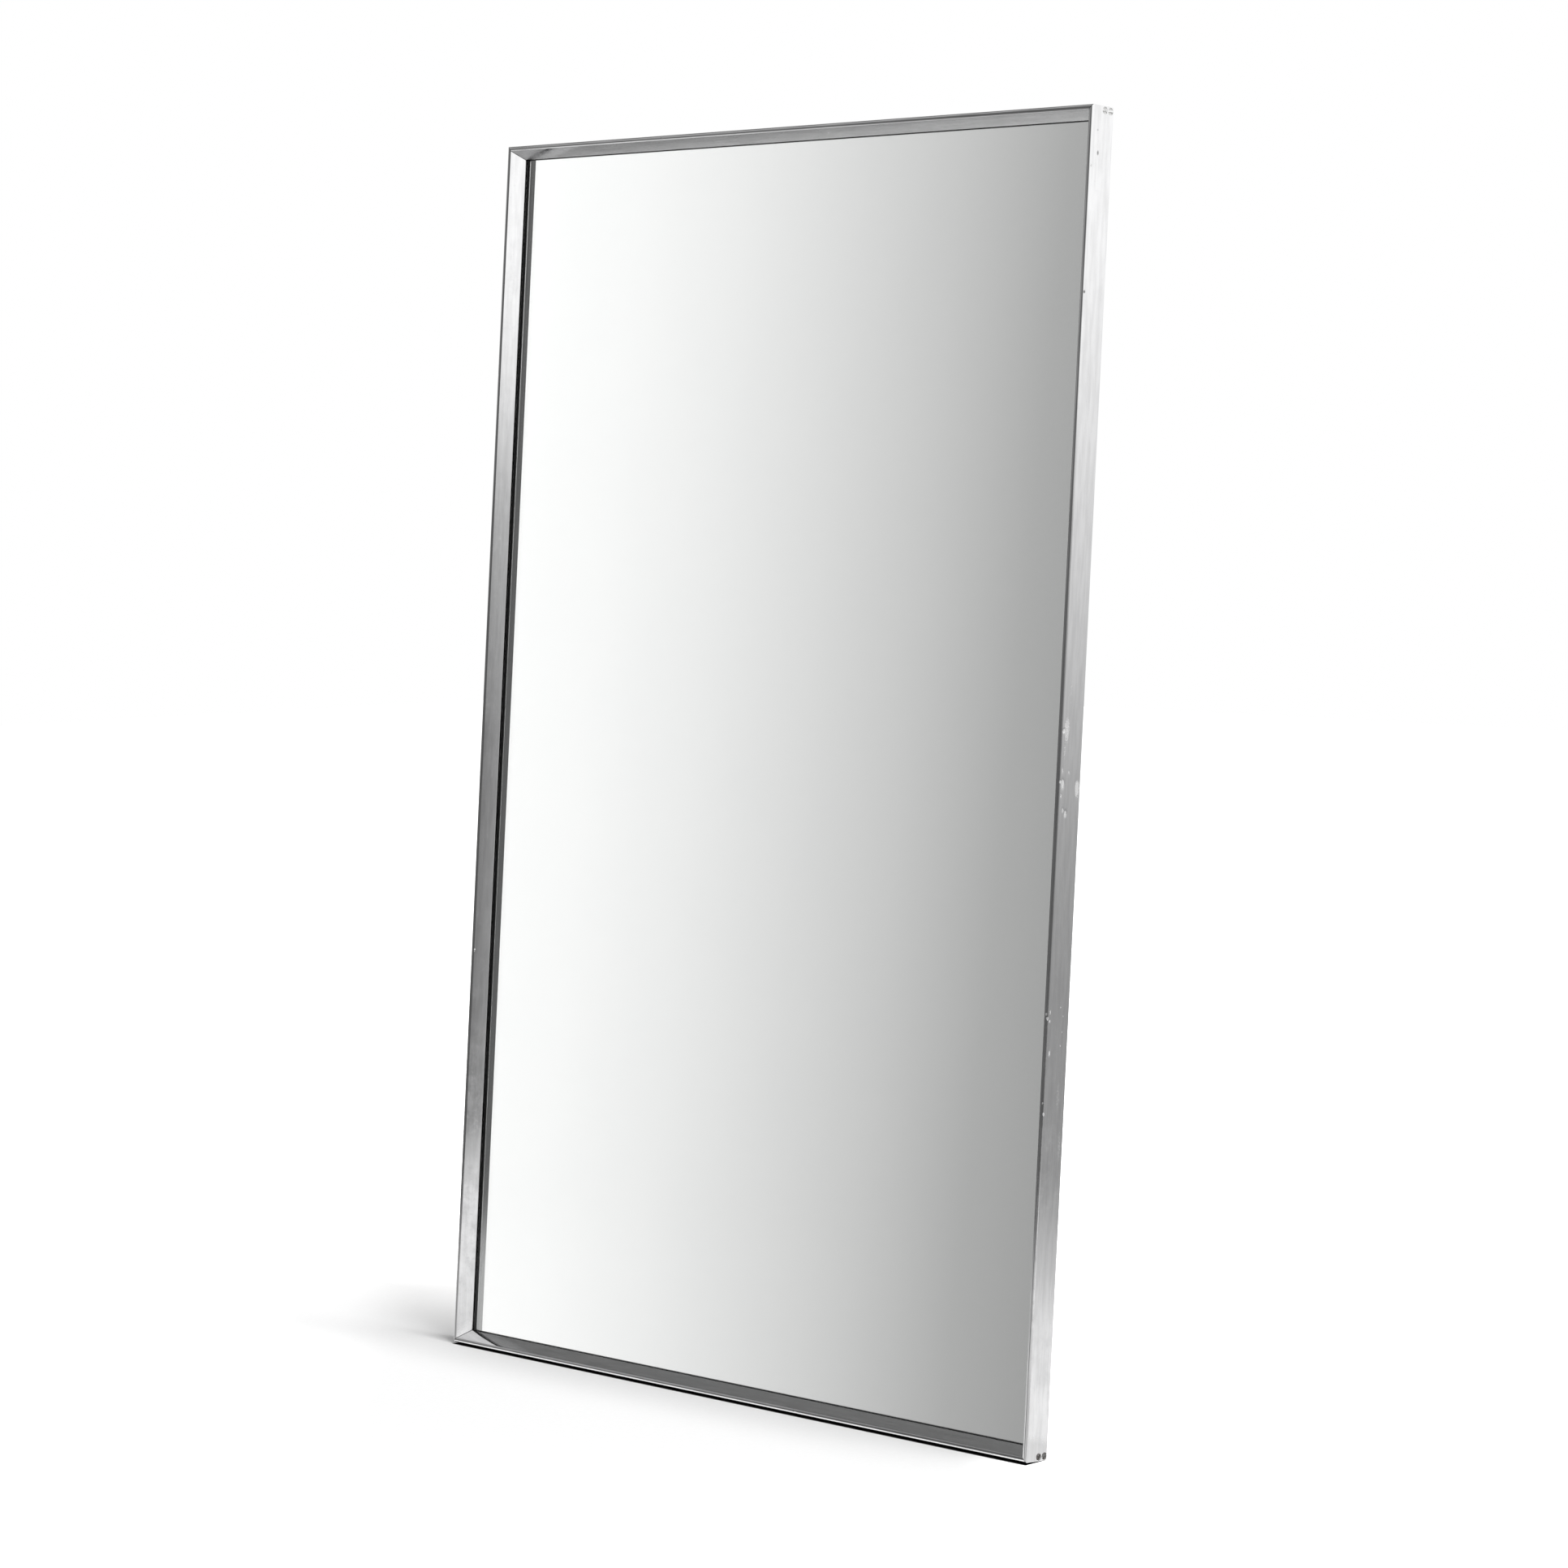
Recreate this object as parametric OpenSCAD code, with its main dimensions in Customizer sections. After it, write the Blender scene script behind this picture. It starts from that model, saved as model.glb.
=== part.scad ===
// Wall mirror in a slim mitred metal frame, front facing -Y, +Z up.
// The origin lies on the wall plane, midway between the two keyholes.
// In the frame's section u runs inwards from the outer face and v runs back from the front.

/* [Frame] */
// Width over the outer faces of the frame
frame_w = 760; // [500:5:1000]
// Height over the outer faces of the frame
frame_h = 1200; // [700:5:1800]
// Depth from the front edge to the wall plane
frame_d = 28.5; // [27.5:0.5:40]
// Running gap of each cut end at the corner joints
mitre_gap = 0.04; // [0.02:0.01:0.2]

/* [Frame section] */
// Width of the front edge
nose_w = 4.4; // [4.2:0.1:6]
// Radius of the front edge's shallow crown
crown_r = 7; // [6:0.5:12]
// Radius of the outer front corner
nose_r = 2; // [1:0.1:2.1]
// Thickness behind the front edge
nose_t = 2; // [1.6:0.1:2.5]
// Thickness of the outer wall
wall_t = 1.6; // [1.2:0.1:2]
// How far the sloping face runs inwards
slope_w = 7.6; // [7:0.1:10]
// How far the sloping face runs back
slope_d = 14; // [10:0.1:14.5]
// Thickness of the sloping web and its rounded lip
web_t = 1; // [0.8:0.1:1.6]
// Width of the rear flange from the outer face
flange_w = 16.5; // [16:0.5:22]
// Thickness of the rear flange
flange_t = 1.5; // [1.2:0.1:2]

/* [Screw ports] */
// Distance of a port's axis from the outer face
port_u = 3.9; // [3.8:0.1:4.2]
// Distance of the rear port's axis from the wall plane
port_back = 3.6; // [3.5:0.1:5]
// Distance between the two ports of a rail
port_pitch = 7.7; // [7:0.1:8.5]
// Radius of the core hole of a port
port_r = 1.45; // [1.3:0.05:1.6]
// Wall of a port round its core hole
port_wall = 0.95; // [0.7:0.05:1.1]
// Width of the slit along a port
port_slit = 1.3; // [0.6:0.1:1.8]

/* [Corner screws] */
// Radius of a countersunk head
head_r = 3.3; // [3:0.1:3.5]
// Height of the dome above the wall
head_dome = 0.7; // [0.3:0.1:1.2]
// Width of the driving slot
slot_w = 0.9; // [0.6:0.1:1.2]
// Depth of the driving slot
slot_d = 1; // [0.5:0.1:1.2]
// Length of a screw under its head
shank_l = 14; // [10:0.5:25]
// Clearance between a screw's core and its port
core_gap = 0.05; // [0.02:0.01:0.1]
// Radial clearance of the screw hole in a stile
hole_gap = 0.35; // [0.1:0.05:0.5]

/* [Mirror] */
// Thickness of the glass
glass_t = 4; // [3:0.5:5]
// Thickness of the silver and its paint
silver_t = 0.2; // [0.1:0.05:0.4]
// How far the lip of the frame covers the glass
glass_cover = 3.7; // [3:0.1:4]
// Thickness of the hardboard back
board_t = 2; // [2:0.5:3]

/* [Glazing strip] */
// Wall of the rubber strip round the glass edge
strip_t = 0.8; // [0.4:0.1:1.2]
// How far the front leg stays back from the lip's edge
strip_set_back = 0.6; // [0.3:0.1:1.5]
// Length of the rear leg over the back of the glass
strip_rear = 6; // [3:0.5:8]
// Clearance between the lip and the strip
lip_gap = 0.05; // [0.02:0.01:0.2]

/* [Packers] */
// Length of a packer along its rail
packer_l = 40; // [20:5:80]
// Distance of a packer from the corner
packer_in = 110; // [60:5:150]
// Clearance on each side of a packer
packer_gap = 0.1; // [0.05:0.05:0.2]

/* [Spring clips] */
// Length of a bowed clip
clip_l = 40; // [30:1:60]
// Width of a clip across the flange
clip_w = 7; // [5:0.5:7.5]
// Thickness of the spring steel
clip_t = 0.5; // [0.3:0.1:0.8]
// Clearance between a clip and what it bears on
clip_gap = 0.06; // [0.02:0.01:0.2]
// Clips on each stile
stile_clips = 3; // [2:1:6]
// Clips on each rail
rail_clips = 2; // [2:1:4]
// Distance of the outer clips from the corner
clip_in = 190; // [120:5:200]

/* [Hangers] */
// Height of the keyholes below the top of the frame
hang_drop = 150; // [110:5:160]
// Distance of a keyhole from the outer face
key_u = 35; // [32:0.5:60]
// Radius of a keyhole's round entry
key_r = 5; // [4:0.25:6]
// Half the width of a keyhole's slot
key_slot_r = 2.5; // [1.5:0.25:3]
// Rise from the entry to the end of the slot
key_rise = 13; // [9:0.5:20]
// Thickness of a hanger plate
plate_t = 1.5; // [1.2:0.1:2]
// Rim of the plate round its keyhole
plate_rim = 9; // [6:0.5:12]
// Radius of the plate's corners
plate_r = 4; // [1:0.5:5]
// Side clearance of the plate's step from the flange
step_gap = 0.3; // [0.2:0.1:0.8]
// Distance of a hanger screw from the edge of the flange
tie_in = 4; // [3.6:0.1:4.4]
// Core radius of a hanger screw
tie_r = 1.4; // [1:0.1:1.5]
// Head radius of a hanger screw
tie_head_r = 2.7; // [2.2:0.1:2.9]
// Radial clearance of a hanger screw in the flange
tie_gap = 0.2; // [0.1:0.05:0.3]
// Distance of the hanger screws from the plate's ends
tie_end = 8; // [6:0.5:10]
// Width of the driving slot of a hanger screw
tie_slot_w = 0.7; // [0.5:0.1:0.9]
// Depth of the driving slot of a hanger screw
tie_slot_d = 0.6; // [0.4:0.1:0.7]

/* [Hidden] */
$fn = 48;
cut = 1;
far = 60;
// Height of the frame's middle, below the keyholes
mid_z = hang_drop - frame_h / 2;
// The crown of the front edge: its middle, its depth at the inner end, and the corner circle
// that is tangent to it and to the outer face, with the point where the two circles meet
crown_u = nose_w / 2;
nose_v = crown_r - sqrt(crown_r * crown_r - crown_u * crown_u);
corner_v = crown_r - sqrt(pow(crown_r - nose_r, 2) - pow(crown_u - nose_r, 2));
meet_u = crown_u + (nose_r - crown_u) * crown_r / (crown_r - nose_r);
meet_v = crown_r + (corner_v - crown_r) * crown_r / (crown_r - nose_r);
// The sloping face: its length, its direction and the centre of the rounded lip
slope_l = sqrt(slope_w * slope_w + pow(slope_d - nose_v, 2));
run_u = slope_w / slope_l;
run_v = (slope_d - nose_v) / slope_l;
lip_r = web_t / 2;
lip_u = nose_w + slope_w - lip_r * run_v;
lip_v = slope_d + lip_r * run_u;
lip_edge = lip_u + lip_r;
lip_back = lip_v + lip_r;
// The stack behind the lip, from front to back
strip_v = lip_back + lip_gap;
glass_v = strip_v + strip_t;
silver_v = glass_v + glass_t;
strip_end = silver_v + silver_t + strip_t;
board_v = strip_end;
board_end = board_v + board_t;
flange_v = frame_d - flange_t;
// Distances from the outer face
glass_u = lip_edge - glass_cover;
strip_u = glass_u - strip_t;
port_out = port_r + port_wall;
port_top = port_u + port_out;
port_vs = [frame_d - port_back - port_pitch, frame_d - port_back];
// Screws
core_r = port_r - core_gap;
hole_r = core_r + hole_gap;
head_deep = min(wall_t, head_r - core_r);
dome_r = (head_r * head_r + head_dome * head_dome) / (2 * head_dome);
// How far each driving slot is turned from upright towards the wall, front screw first
turns_top_left = [40, 150];
turns_top_right = [112, 83];
turns_bottom_left = [75, 20];
turns_bottom_right = [16, 66];
// Spring clips: their height, their bow's radius and their place under the flange
clip_room = flange_v - board_end - 2 * clip_gap;
clip_rise = clip_room - clip_t;
bow_r = (clip_l * clip_l / 4 + clip_rise * clip_rise) / (2 * clip_rise);
clip_u = (strip_u + flange_w) / 2;
// Hanger plates, in u and in height about the keyhole
tab_u = strip_u + step_gap;
step_u = flange_w + step_gap;
plate_end = key_u + key_r + plate_rim;
plate_low = -key_r - plate_rim;
plate_high = key_rise + key_slot_r + plate_rim;
plate_v = frame_d - plate_t;
tab_v = flange_v - plate_t;
tie_u = flange_w - tie_in;
tie_zs = [plate_low + tie_end, plate_high - tie_end];
// How far the driving slots of the two hanger screws are turned
tie_turns = [28, 104];

// Section of the extruded frame, with its two screw ports
module frame_section() {
    // Outer wall
    translate([0, corner_v]) square([wall_t, frame_d - corner_v]);
    // Crowned front edge, with its outer corner rounded by the tangent circle
    difference() {
        intersection() {
            square([nose_w, nose_t]);
            translate([crown_u, crown_r]) circle(r = crown_r, $fn = 96);
        }
        polygon([[-cut, -cut], [meet_u, -cut], [meet_u, meet_v], [nose_r, corner_v], [-cut, corner_v]]);
    }
    translate([nose_r, corner_v]) circle(r = nose_r);
    // Sloping web, ending in a rounded lip
    polygon([[nose_w, nose_v], [nose_w + slope_w, slope_d],
        [lip_u - lip_r * run_v, lip_v + lip_r * run_u],
        [nose_w - web_t / run_v, nose_v]]);
    translate([lip_u, lip_v]) circle(r = lip_r);
    // Rear flange
    translate([0, flange_v]) square([flange_w, flange_t]);
    // Screw ports, slit on their inner side
    for (v = port_vs) difference() {
        union() {
            translate([port_u, v]) circle(r = port_out);
            translate([wall_t / 2, v - port_out]) square([port_u - wall_t / 2, 2 * port_out]);
        }
        translate([port_u, v]) circle(r = port_r);
        translate([port_u, v - port_slit / 2]) square([far, port_slit]);
    }
}

// A bar with 45 degree ends along the bottom of a frame whose middle is the origin
module mitred_bar(span, drop) {
    reach = far / 2;
    translate([0, 0, -drop]) intersection() {
        translate([0, -frame_d, 0]) rotate([0, -90, 0])
            linear_extrude(height = span, center = true) children();
        rotate([90, 0, 0]) linear_extrude(height = 2 * far, center = true)
            polygon([[mitre_gap - span / 2, 0], [span / 2 - mitre_gap, 0],
                [span / 2 - reach - mitre_gap, reach], [mitre_gap - span / 2 + reach, reach]]);
    }
}

// The same section on each side of the frame
module on_bottom() translate([0, 0, mid_z]) mitred_bar(frame_w, frame_h / 2) children();
module on_top() translate([0, 0, mid_z]) rotate([0, 180, 0]) mitred_bar(frame_w, frame_h / 2) children();
module on_left() translate([0, 0, mid_z]) rotate([0, 90, 0]) mitred_bar(frame_h, frame_w / 2) children();
module on_right() translate([0, 0, mid_z]) rotate([0, -90, 0]) mitred_bar(frame_h, frame_w / 2) children();

// Half the section of a corner screw: its radius across, its axis up, the wall's face at zero
module screw_section() {
    translate([0, -shank_l]) square([core_r, shank_l]);
    polygon([[0, -head_deep], [head_r - head_deep, -head_deep], [head_r, 0], [0, 0]]);
    intersection() {
        translate([0, head_dome - dome_r]) circle(r = dome_r, $fn = 96);
        square([head_r, head_dome]);
    }
}

// A corner's two screws, with +X outwards along the screws and the wall at x = 0
module screw_pair(turns) {
    for (i = [0, 1]) translate([0, port_vs[i] - frame_d, 0]) difference() {
        rotate([0, 90, 0]) rotate_extrude() screw_section();
        rotate([-turns[i], 0, 0])
            translate([head_dome - slot_d, -slot_w / 2, -far / 2]) cube([far, slot_w, far]);
    }
}

// The holes for a corner's two screws, countersunk, in a stile
module screw_holes() {
    for (v = port_vs) translate([0, v - frame_d, 0]) {
        translate([-head_deep, 0, 0]) rotate([0, 90, 0])
            cylinder(r1 = head_r - head_deep + hole_gap / 2, r2 = head_r + hole_gap / 2, h = head_deep);
        translate([-port_top, 0, 0]) rotate([0, 90, 0]) cylinder(r = hole_r, h = port_top + cut);
        rotate([0, 90, 0]) cylinder(r = head_r + hole_gap / 2, h = cut);
    }
}

// Places what stands on the right stile at the level of a rail's ports
module at_corner(side, level) {
    translate([side * frame_w / 2, 0, mid_z + level * (frame_h / 2 - port_u)])
        mirror([side < 0 ? 1 : 0, 0, 0]) children();
}

// Places what stands on the right stile at the level of the keyholes, u running inwards as -X
module at_hanger(side) {
    translate([side * frame_w / 2, 0, 0]) mirror([side < 0 ? 1 : 0, 0, 0]) children();
}

module top_rail() {
    color("silver") on_top() frame_section();
}

module bottom_rail() {
    color("silver") on_bottom() frame_section();
}

// A stile: the mitred section, less the screw holes at both ends and the hanger's two holes
module stile_cuts(side) {
    for (level = [-1, 1]) at_corner(side, level) screw_holes();
    at_hanger(side) for (z = tie_zs) translate([-tie_u, 0, z]) rotate([90, 0, 0]) {
        cylinder(r = tie_r + tie_gap, h = flange_t + cut);
        cylinder(r1 = tie_head_r + tie_gap, r2 = tie_r + tie_gap, h = tie_head_r - tie_r);
        translate([0, 0, -cut]) cylinder(r = tie_head_r + tie_gap, h = cut);
    }
}

module left_stile() {
    color("silver") difference() {
        on_left() frame_section();
        stile_cuts(-1);
    }
}

module right_stile() {
    color("silver") difference() {
        on_right() frame_section();
        stile_cuts(1);
    }
}

module corner_screws_top_left() {
    color("gainsboro") at_corner(-1, 1) screw_pair(turns_top_left);
}

module corner_screws_top_right() {
    color("gainsboro") at_corner(1, 1) screw_pair(turns_top_right);
}

module corner_screws_bottom_left() {
    color("dimgray") at_corner(-1, -1) screw_pair(turns_bottom_left);
}

module corner_screws_bottom_right() {
    color("dimgray") at_corner(1, -1) screw_pair(turns_bottom_right);
}

// A sheet behind the lip, with its edge a distance u inside the outer face
module sheet(u, v, thick) {
    translate([u - frame_w / 2, v - frame_d, mid_z + u - frame_h / 2])
        cube([frame_w - 2 * u, thick, frame_h - 2 * u]);
}

module glass_pane() {
    color("lightsteelblue") sheet(glass_u, glass_v, glass_t);
}

module silver_coat() {
    color("white") sheet(glass_u, silver_v, silver_t);
}

module backing_board() {
    color("peru") sheet(strip_u, board_v, board_t);
}

// Section of the rubber strip: a channel that wraps the edge of the glass
module strip_section() {
    difference() {
        union() {
            translate([strip_u, strip_v])
                square([lip_edge - strip_set_back - strip_u, glass_v + cut - strip_v]);
            translate([strip_u, silver_v]) square([strip_t + strip_rear, strip_end - silver_v]);
            translate([strip_u, strip_v]) square([strip_t, strip_end - strip_v]);
        }
        translate([glass_u, glass_v]) square([far, glass_t + silver_t]);
    }
}

module glazing_strip_top() {
    color("black") on_top() strip_section();
}

module glazing_strip_bottom() {
    color("black") on_bottom() strip_section();
}

module glazing_strip_left() {
    color("black") on_left() strip_section();
}

module glazing_strip_right() {
    color("black") on_right() strip_section();
}

// Two packers along a bottom bar of the given span, between its ports and the strip
module packers(span, drop) {
    for (s = [-1, 1])
        translate([s * (span / 2 - packer_in) - packer_l / 2, strip_v - frame_d, port_top + packer_gap - drop])
            cube([packer_l, flange_v - packer_gap - strip_v, strip_u - port_top - 2 * packer_gap]);
}

module setting_packers() {
    color("darkslategray") translate([0, 0, mid_z]) packers(frame_w, frame_h / 2);
}

module side_packers_left() {
    color("darkslategray") translate([0, 0, mid_z]) rotate([0, 90, 0]) packers(frame_h, frame_w / 2);
}

module side_packers_right() {
    color("darkslategray") translate([0, 0, mid_z]) rotate([0, -90, 0]) packers(frame_h, frame_w / 2);
}

// One bowed strip of spring steel, its ends on the board and its crown under the flange
module spring_clip() {
    crown_y = -flange_t - clip_gap;
    translate([0, crown_y - bow_r, 0]) intersection() {
        linear_extrude(height = clip_w, center = true) difference() {
            circle(r = bow_r, $fn = 96);
            circle(r = bow_r - clip_t, $fn = 96);
        }
        translate([-clip_l / 2, bow_r - clip_room, -clip_w / 2]) cube([clip_l, clip_room + cut, clip_w]);
    }
}

// The clips of a bottom bar, evenly spaced between the outer two
module clip_row(span, drop, count) {
    first = clip_in - span / 2;
    pitch = (span - 2 * clip_in) / (count - 1);
    for (i = [0 : count - 1]) translate([first + i * pitch, 0, clip_u - drop]) spring_clip();
}

module spring_clips_bottom() {
    color("slategray") translate([0, 0, mid_z]) clip_row(frame_w, frame_h / 2, rail_clips);
}

module spring_clips_top() {
    color("slategray") translate([0, 0, mid_z]) rotate([0, 180, 0])
        clip_row(frame_w, frame_h / 2, rail_clips);
}

module spring_clips_left() {
    color("slategray") translate([0, 0, mid_z]) rotate([0, 90, 0])
        clip_row(frame_h, frame_w / 2, stile_clips);
}

module spring_clips_right() {
    color("slategray") translate([0, 0, mid_z]) rotate([0, -90, 0])
        clip_row(frame_h, frame_w / 2, stile_clips);
}

// A flat outline with rounded inner corners, from u0 to u1 and from z0 to z1
module plate_outline(u0, u1, z0, z1) {
    translate([-u1 + plate_r, z0]) square([u1 - u0 - plate_r, z1 - z0]);
    translate([-u1, z0 + plate_r]) square([u1 - u0, z1 - z0 - 2 * plate_r]);
    for (z = [z0 + plate_r, z1 - plate_r]) translate([-u1 + plate_r, z]) circle(r = plate_r);
}

// A stepped steel plate: a tab under the flange, a step, and a keyhole plate flush with the wall plane
module hanger() {
    difference() {
        union() {
            translate([0, plate_v - frame_d + plate_t, 0]) rotate([90, 0, 0])
                linear_extrude(height = plate_t) plate_outline(step_u, plate_end, plate_low, plate_high);
            translate([-step_u - plate_t, tab_v - frame_d, plate_low])
                cube([plate_t, frame_d - tab_v, plate_high - plate_low]);
            translate([-step_u, tab_v - frame_d, plate_low])
                cube([step_u - tab_u, plate_t, plate_high - plate_low]);
        }
        translate([-key_u, cut, 0]) rotate([90, 0, 0]) cylinder(r = key_r, h = far);
        translate([-key_u, cut, key_rise]) rotate([90, 0, 0]) cylinder(r = key_slot_r, h = far);
        translate([-key_u - key_slot_r, -far, 0]) cube([2 * key_slot_r, far + cut, key_rise]);
        for (z = tie_zs) translate([-tie_u, cut, z]) rotate([90, 0, 0])
            cylinder(r = tie_r + core_gap, h = far);
    }
}

module hanger_left() {
    color("lightgray") at_hanger(-1) hanger();
}

module hanger_right() {
    color("lightgray") at_hanger(1) hanger();
}

// The two slotted countersunk screws that hold a hanger under the flange
module tie_screws() {
    for (i = [0, 1]) translate([-tie_u, 0, tie_zs[i]]) rotate([90, 0, 0]) difference() {
        union() {
            cylinder(r = tie_r, h = flange_t + plate_t);
            cylinder(r1 = tie_head_r, r2 = tie_r, h = tie_head_r - tie_r);
        }
        rotate([0, 0, tie_turns[i]])
            translate([-far / 2, -tie_slot_w / 2, -cut]) cube([far, tie_slot_w, cut + tie_slot_d]);
    }
}

module hanger_screws_left() {
    color("gray") at_hanger(-1) tie_screws();
}

module hanger_screws_right() {
    color("gray") at_hanger(1) tie_screws();
}

top_rail();
bottom_rail();
left_stile();
right_stile();
corner_screws_top_left();
corner_screws_top_right();
corner_screws_bottom_left();
corner_screws_bottom_right();
glass_pane();
silver_coat();
glazing_strip_top();
glazing_strip_bottom();
glazing_strip_left();
glazing_strip_right();
backing_board();
setting_packers();
side_packers_left();
side_packers_right();
spring_clips_top();
spring_clips_bottom();
spring_clips_left();
spring_clips_right();
hanger_left();
hanger_right();
hanger_screws_left();
hanger_screws_right();
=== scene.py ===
# %% [markdown]
# # A wall mirror in a slim metal frame
# The photograph shows a tall mirror that stands on a white studio floor and leans back a little.
# Its frame is one extruded metal section, cut at 45 degrees and joined at the corners by screws.
# The packed CAD part brings every solid at its true size. This script gives each of them a
# finish. It replaces the four frame bars by finer meshes that carry the knocks of long use, and
# the glass by a pane with ground edges.

import math

import bpy
import numpy as np
from mathutils import Matrix, Vector


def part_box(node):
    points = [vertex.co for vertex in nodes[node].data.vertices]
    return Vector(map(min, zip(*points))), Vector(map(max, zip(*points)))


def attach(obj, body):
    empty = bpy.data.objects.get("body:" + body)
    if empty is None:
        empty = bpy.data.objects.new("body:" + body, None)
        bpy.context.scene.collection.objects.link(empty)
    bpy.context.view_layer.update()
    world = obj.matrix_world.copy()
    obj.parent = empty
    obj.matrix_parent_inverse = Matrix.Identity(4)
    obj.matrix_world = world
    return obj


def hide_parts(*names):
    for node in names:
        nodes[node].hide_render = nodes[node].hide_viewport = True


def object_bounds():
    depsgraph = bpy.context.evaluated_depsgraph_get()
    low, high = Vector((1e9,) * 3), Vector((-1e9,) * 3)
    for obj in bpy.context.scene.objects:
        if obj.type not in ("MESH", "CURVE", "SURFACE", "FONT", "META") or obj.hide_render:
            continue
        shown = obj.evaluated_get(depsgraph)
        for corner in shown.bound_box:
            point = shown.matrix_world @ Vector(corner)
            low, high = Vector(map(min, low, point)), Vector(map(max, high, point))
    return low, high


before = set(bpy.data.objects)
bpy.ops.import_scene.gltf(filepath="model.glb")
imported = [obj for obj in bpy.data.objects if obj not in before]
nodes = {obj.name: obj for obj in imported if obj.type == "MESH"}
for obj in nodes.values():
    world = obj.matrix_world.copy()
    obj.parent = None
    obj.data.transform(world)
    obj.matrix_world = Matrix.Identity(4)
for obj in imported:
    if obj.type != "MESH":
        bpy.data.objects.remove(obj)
cad_box = [list(corner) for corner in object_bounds()]
print("CAD nodes:", len(nodes), "box:", cad_box)

# %% [markdown]
# ## The camera
# The straight edges of the frame meet at vanishing points in the photograph. A camera was fitted
# to twelve of those edges, which gives its place, its three axes and a 99 mm lens on a 36 mm
# sensor. The lens looks at the middle of the picture, so nothing is shifted.

# %% Camera
EYE = (2.834, -2.9371, -0.3622)
CAMERA_RIGHT = Vector((0.72002, 0.69231, 0.04772)).normalized()
CAMERA_BACK = Vector((0.69199, -0.72145, 0.02566)).normalized()
LENS, SENSOR, SIGHT = 98.97, 36, 100


def add_object(name, data):
    """A new object with this data, linked into the scene."""
    made = bpy.data.objects.new(name, data)
    bpy.context.scene.collection.objects.link(made)
    return made


camera = add_object("camera", bpy.data.cameras.new("camera"))
camera.data.lens = LENS
camera.data.sensor_width = SENSOR
camera.data.clip_end = SIGHT
axes = (CAMERA_RIGHT, CAMERA_BACK.cross(CAMERA_RIGHT), CAMERA_BACK)
camera.matrix_world = Matrix.Translation(EYE) @ Matrix(axes).transposed().to_4x4()
bpy.context.scene.camera = camera
bpy.context.scene.view_settings.view_transform = "Standard"
print("camera at", EYE, "looking along", tuple(round(-c, 3) for c in CAMERA_BACK))

# %% [markdown]
# ## A short way to write shader nodes
# Every finish below is a small network of nodes. Written out one by one they hide the idea, so
# this class adds a node, sets its inputs and gives back the socket to plug in next. A number, a
# colour or another node's socket can stand for any input. Three functions after it start a
# material, end it with a surface, and give it to nodes of the CAD part.

# %% Node helper
def grey(level):
    """An opaque grey, as red, green, blue and alpha."""
    return (level, level, level, 1)


class Shader:
    """A node tree with short calls: each method adds one node and returns its output socket."""

    def __init__(self, tree):
        self.tree = tree
        tree.nodes.clear()

    def add(self, kind, inputs=(), output=0, **settings):
        """Adds a node, applies its settings and fills the named or numbered inputs."""
        made = self.tree.nodes.new("ShaderNode" + kind)
        for name, value in settings.items():
            setattr(made, name, value)
        for name, value in dict(inputs).items():
            if isinstance(value, bpy.types.NodeSocket):
                self.tree.links.new(value, made.inputs[name])
            else:
                made.inputs[name].default_value = value
        return made.outputs[output] if made.outputs else None

    def math(self, operation, first, second=0.0):
        """One sum, product or function of one or two numbers."""
        return self.add("Math", {0: first, 1: second}, operation=operation)

    def blend(self, share, first, second):
        """A number that moves from first to second as share goes from 0 to 1."""
        return self.add("Mix", {0: share, 2: first, 3: second}, data_type="FLOAT")

    def tint(self, share, first, second):
        """A colour that moves from first to second as share goes from 0 to 1."""
        return self.add("Mix", {0: share, 6: first, 7: second}, output=2, data_type="RGBA")

    def fade(self, value, start, end, low=0.0, high=1.0):
        """A smooth step: low before start, high after end."""
        return self.add("MapRange", {0: value, 1: start, 2: end, 3: low, 4: high},
                        interpolation_type="SMOOTHSTEP")

    def edge(self, value, place, spread, low=0.0, high=1.0):
        """A smooth step that starts and ends at given distances from a place."""
        return self.fade(value, place + spread[0], place + spread[1], low, high)

    def plus(self, base, part, share):
        """base + part * share."""
        return self.math("ADD", base, self.math("MULTIPLY", part, share))

    def cover(self, base, part, share, colour):
        """The base with a colour laid over it: as much as part says, and never more than share."""
        return self.tint(self.math("MULTIPLY", part, share), base, colour)

    def stretch(self, vector, scale):
        """The same place with each axis scaled, which draws a pattern out along an axis."""
        return self.add("Mapping", {"Vector": vector, "Scale": scale})

    def noise(self, vector, scale, detail=2.0, rough=0.5):
        """Soft random spots, from 0 to 1, about 1/scale apart."""
        return self.add("TexNoise", {"Vector": vector, "Scale": scale, "Detail": detail,
                                     "Roughness": rough})

    def ramp(self, value, stops):
        """A curve through (position, level) stops, straight between them."""
        made = self.tree.nodes.new("ShaderNodeValToRGB")
        self.tree.links.new(value, made.inputs[0])
        points = made.color_ramp.elements
        while len(points) < len(stops):
            points.new(1.0)
        for point, (place, level) in zip(points, stops):
            point.position = place
            point.color = grey(level)
        return made.outputs[0]


print("shader calls:", [name for name in vars(Shader) if name[0] != "_"])

# %% Finish helpers
def material(name):
    """A new material, the Shader that writes its nodes, and the place on the object in metres."""
    made = bpy.data.materials.new(name)
    made.use_nodes = True
    shader = Shader(made.node_tree)
    return made, shader, shader.add("TexCoord", output="Object")


def surface(shader, inputs, relief=None, deep=0.0):
    """The Principled surface that ends a material, with an optional relief, deep in metres."""
    inputs = dict(inputs)
    if relief is not None:
        inputs["Normal"] = shader.add("Bump", {"Height": relief, "Distance": deep, "Strength": 1})
    shader.add("OutputMaterial", {"Surface": shader.add("BsdfPrincipled", inputs)})


def finish_nodes(finish, *names):
    """Gives CAD nodes their finish."""
    for name in names:
        nodes[name].material_slots[0].material = finish
    print(finish.name, "on", ", ".join(names))


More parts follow.
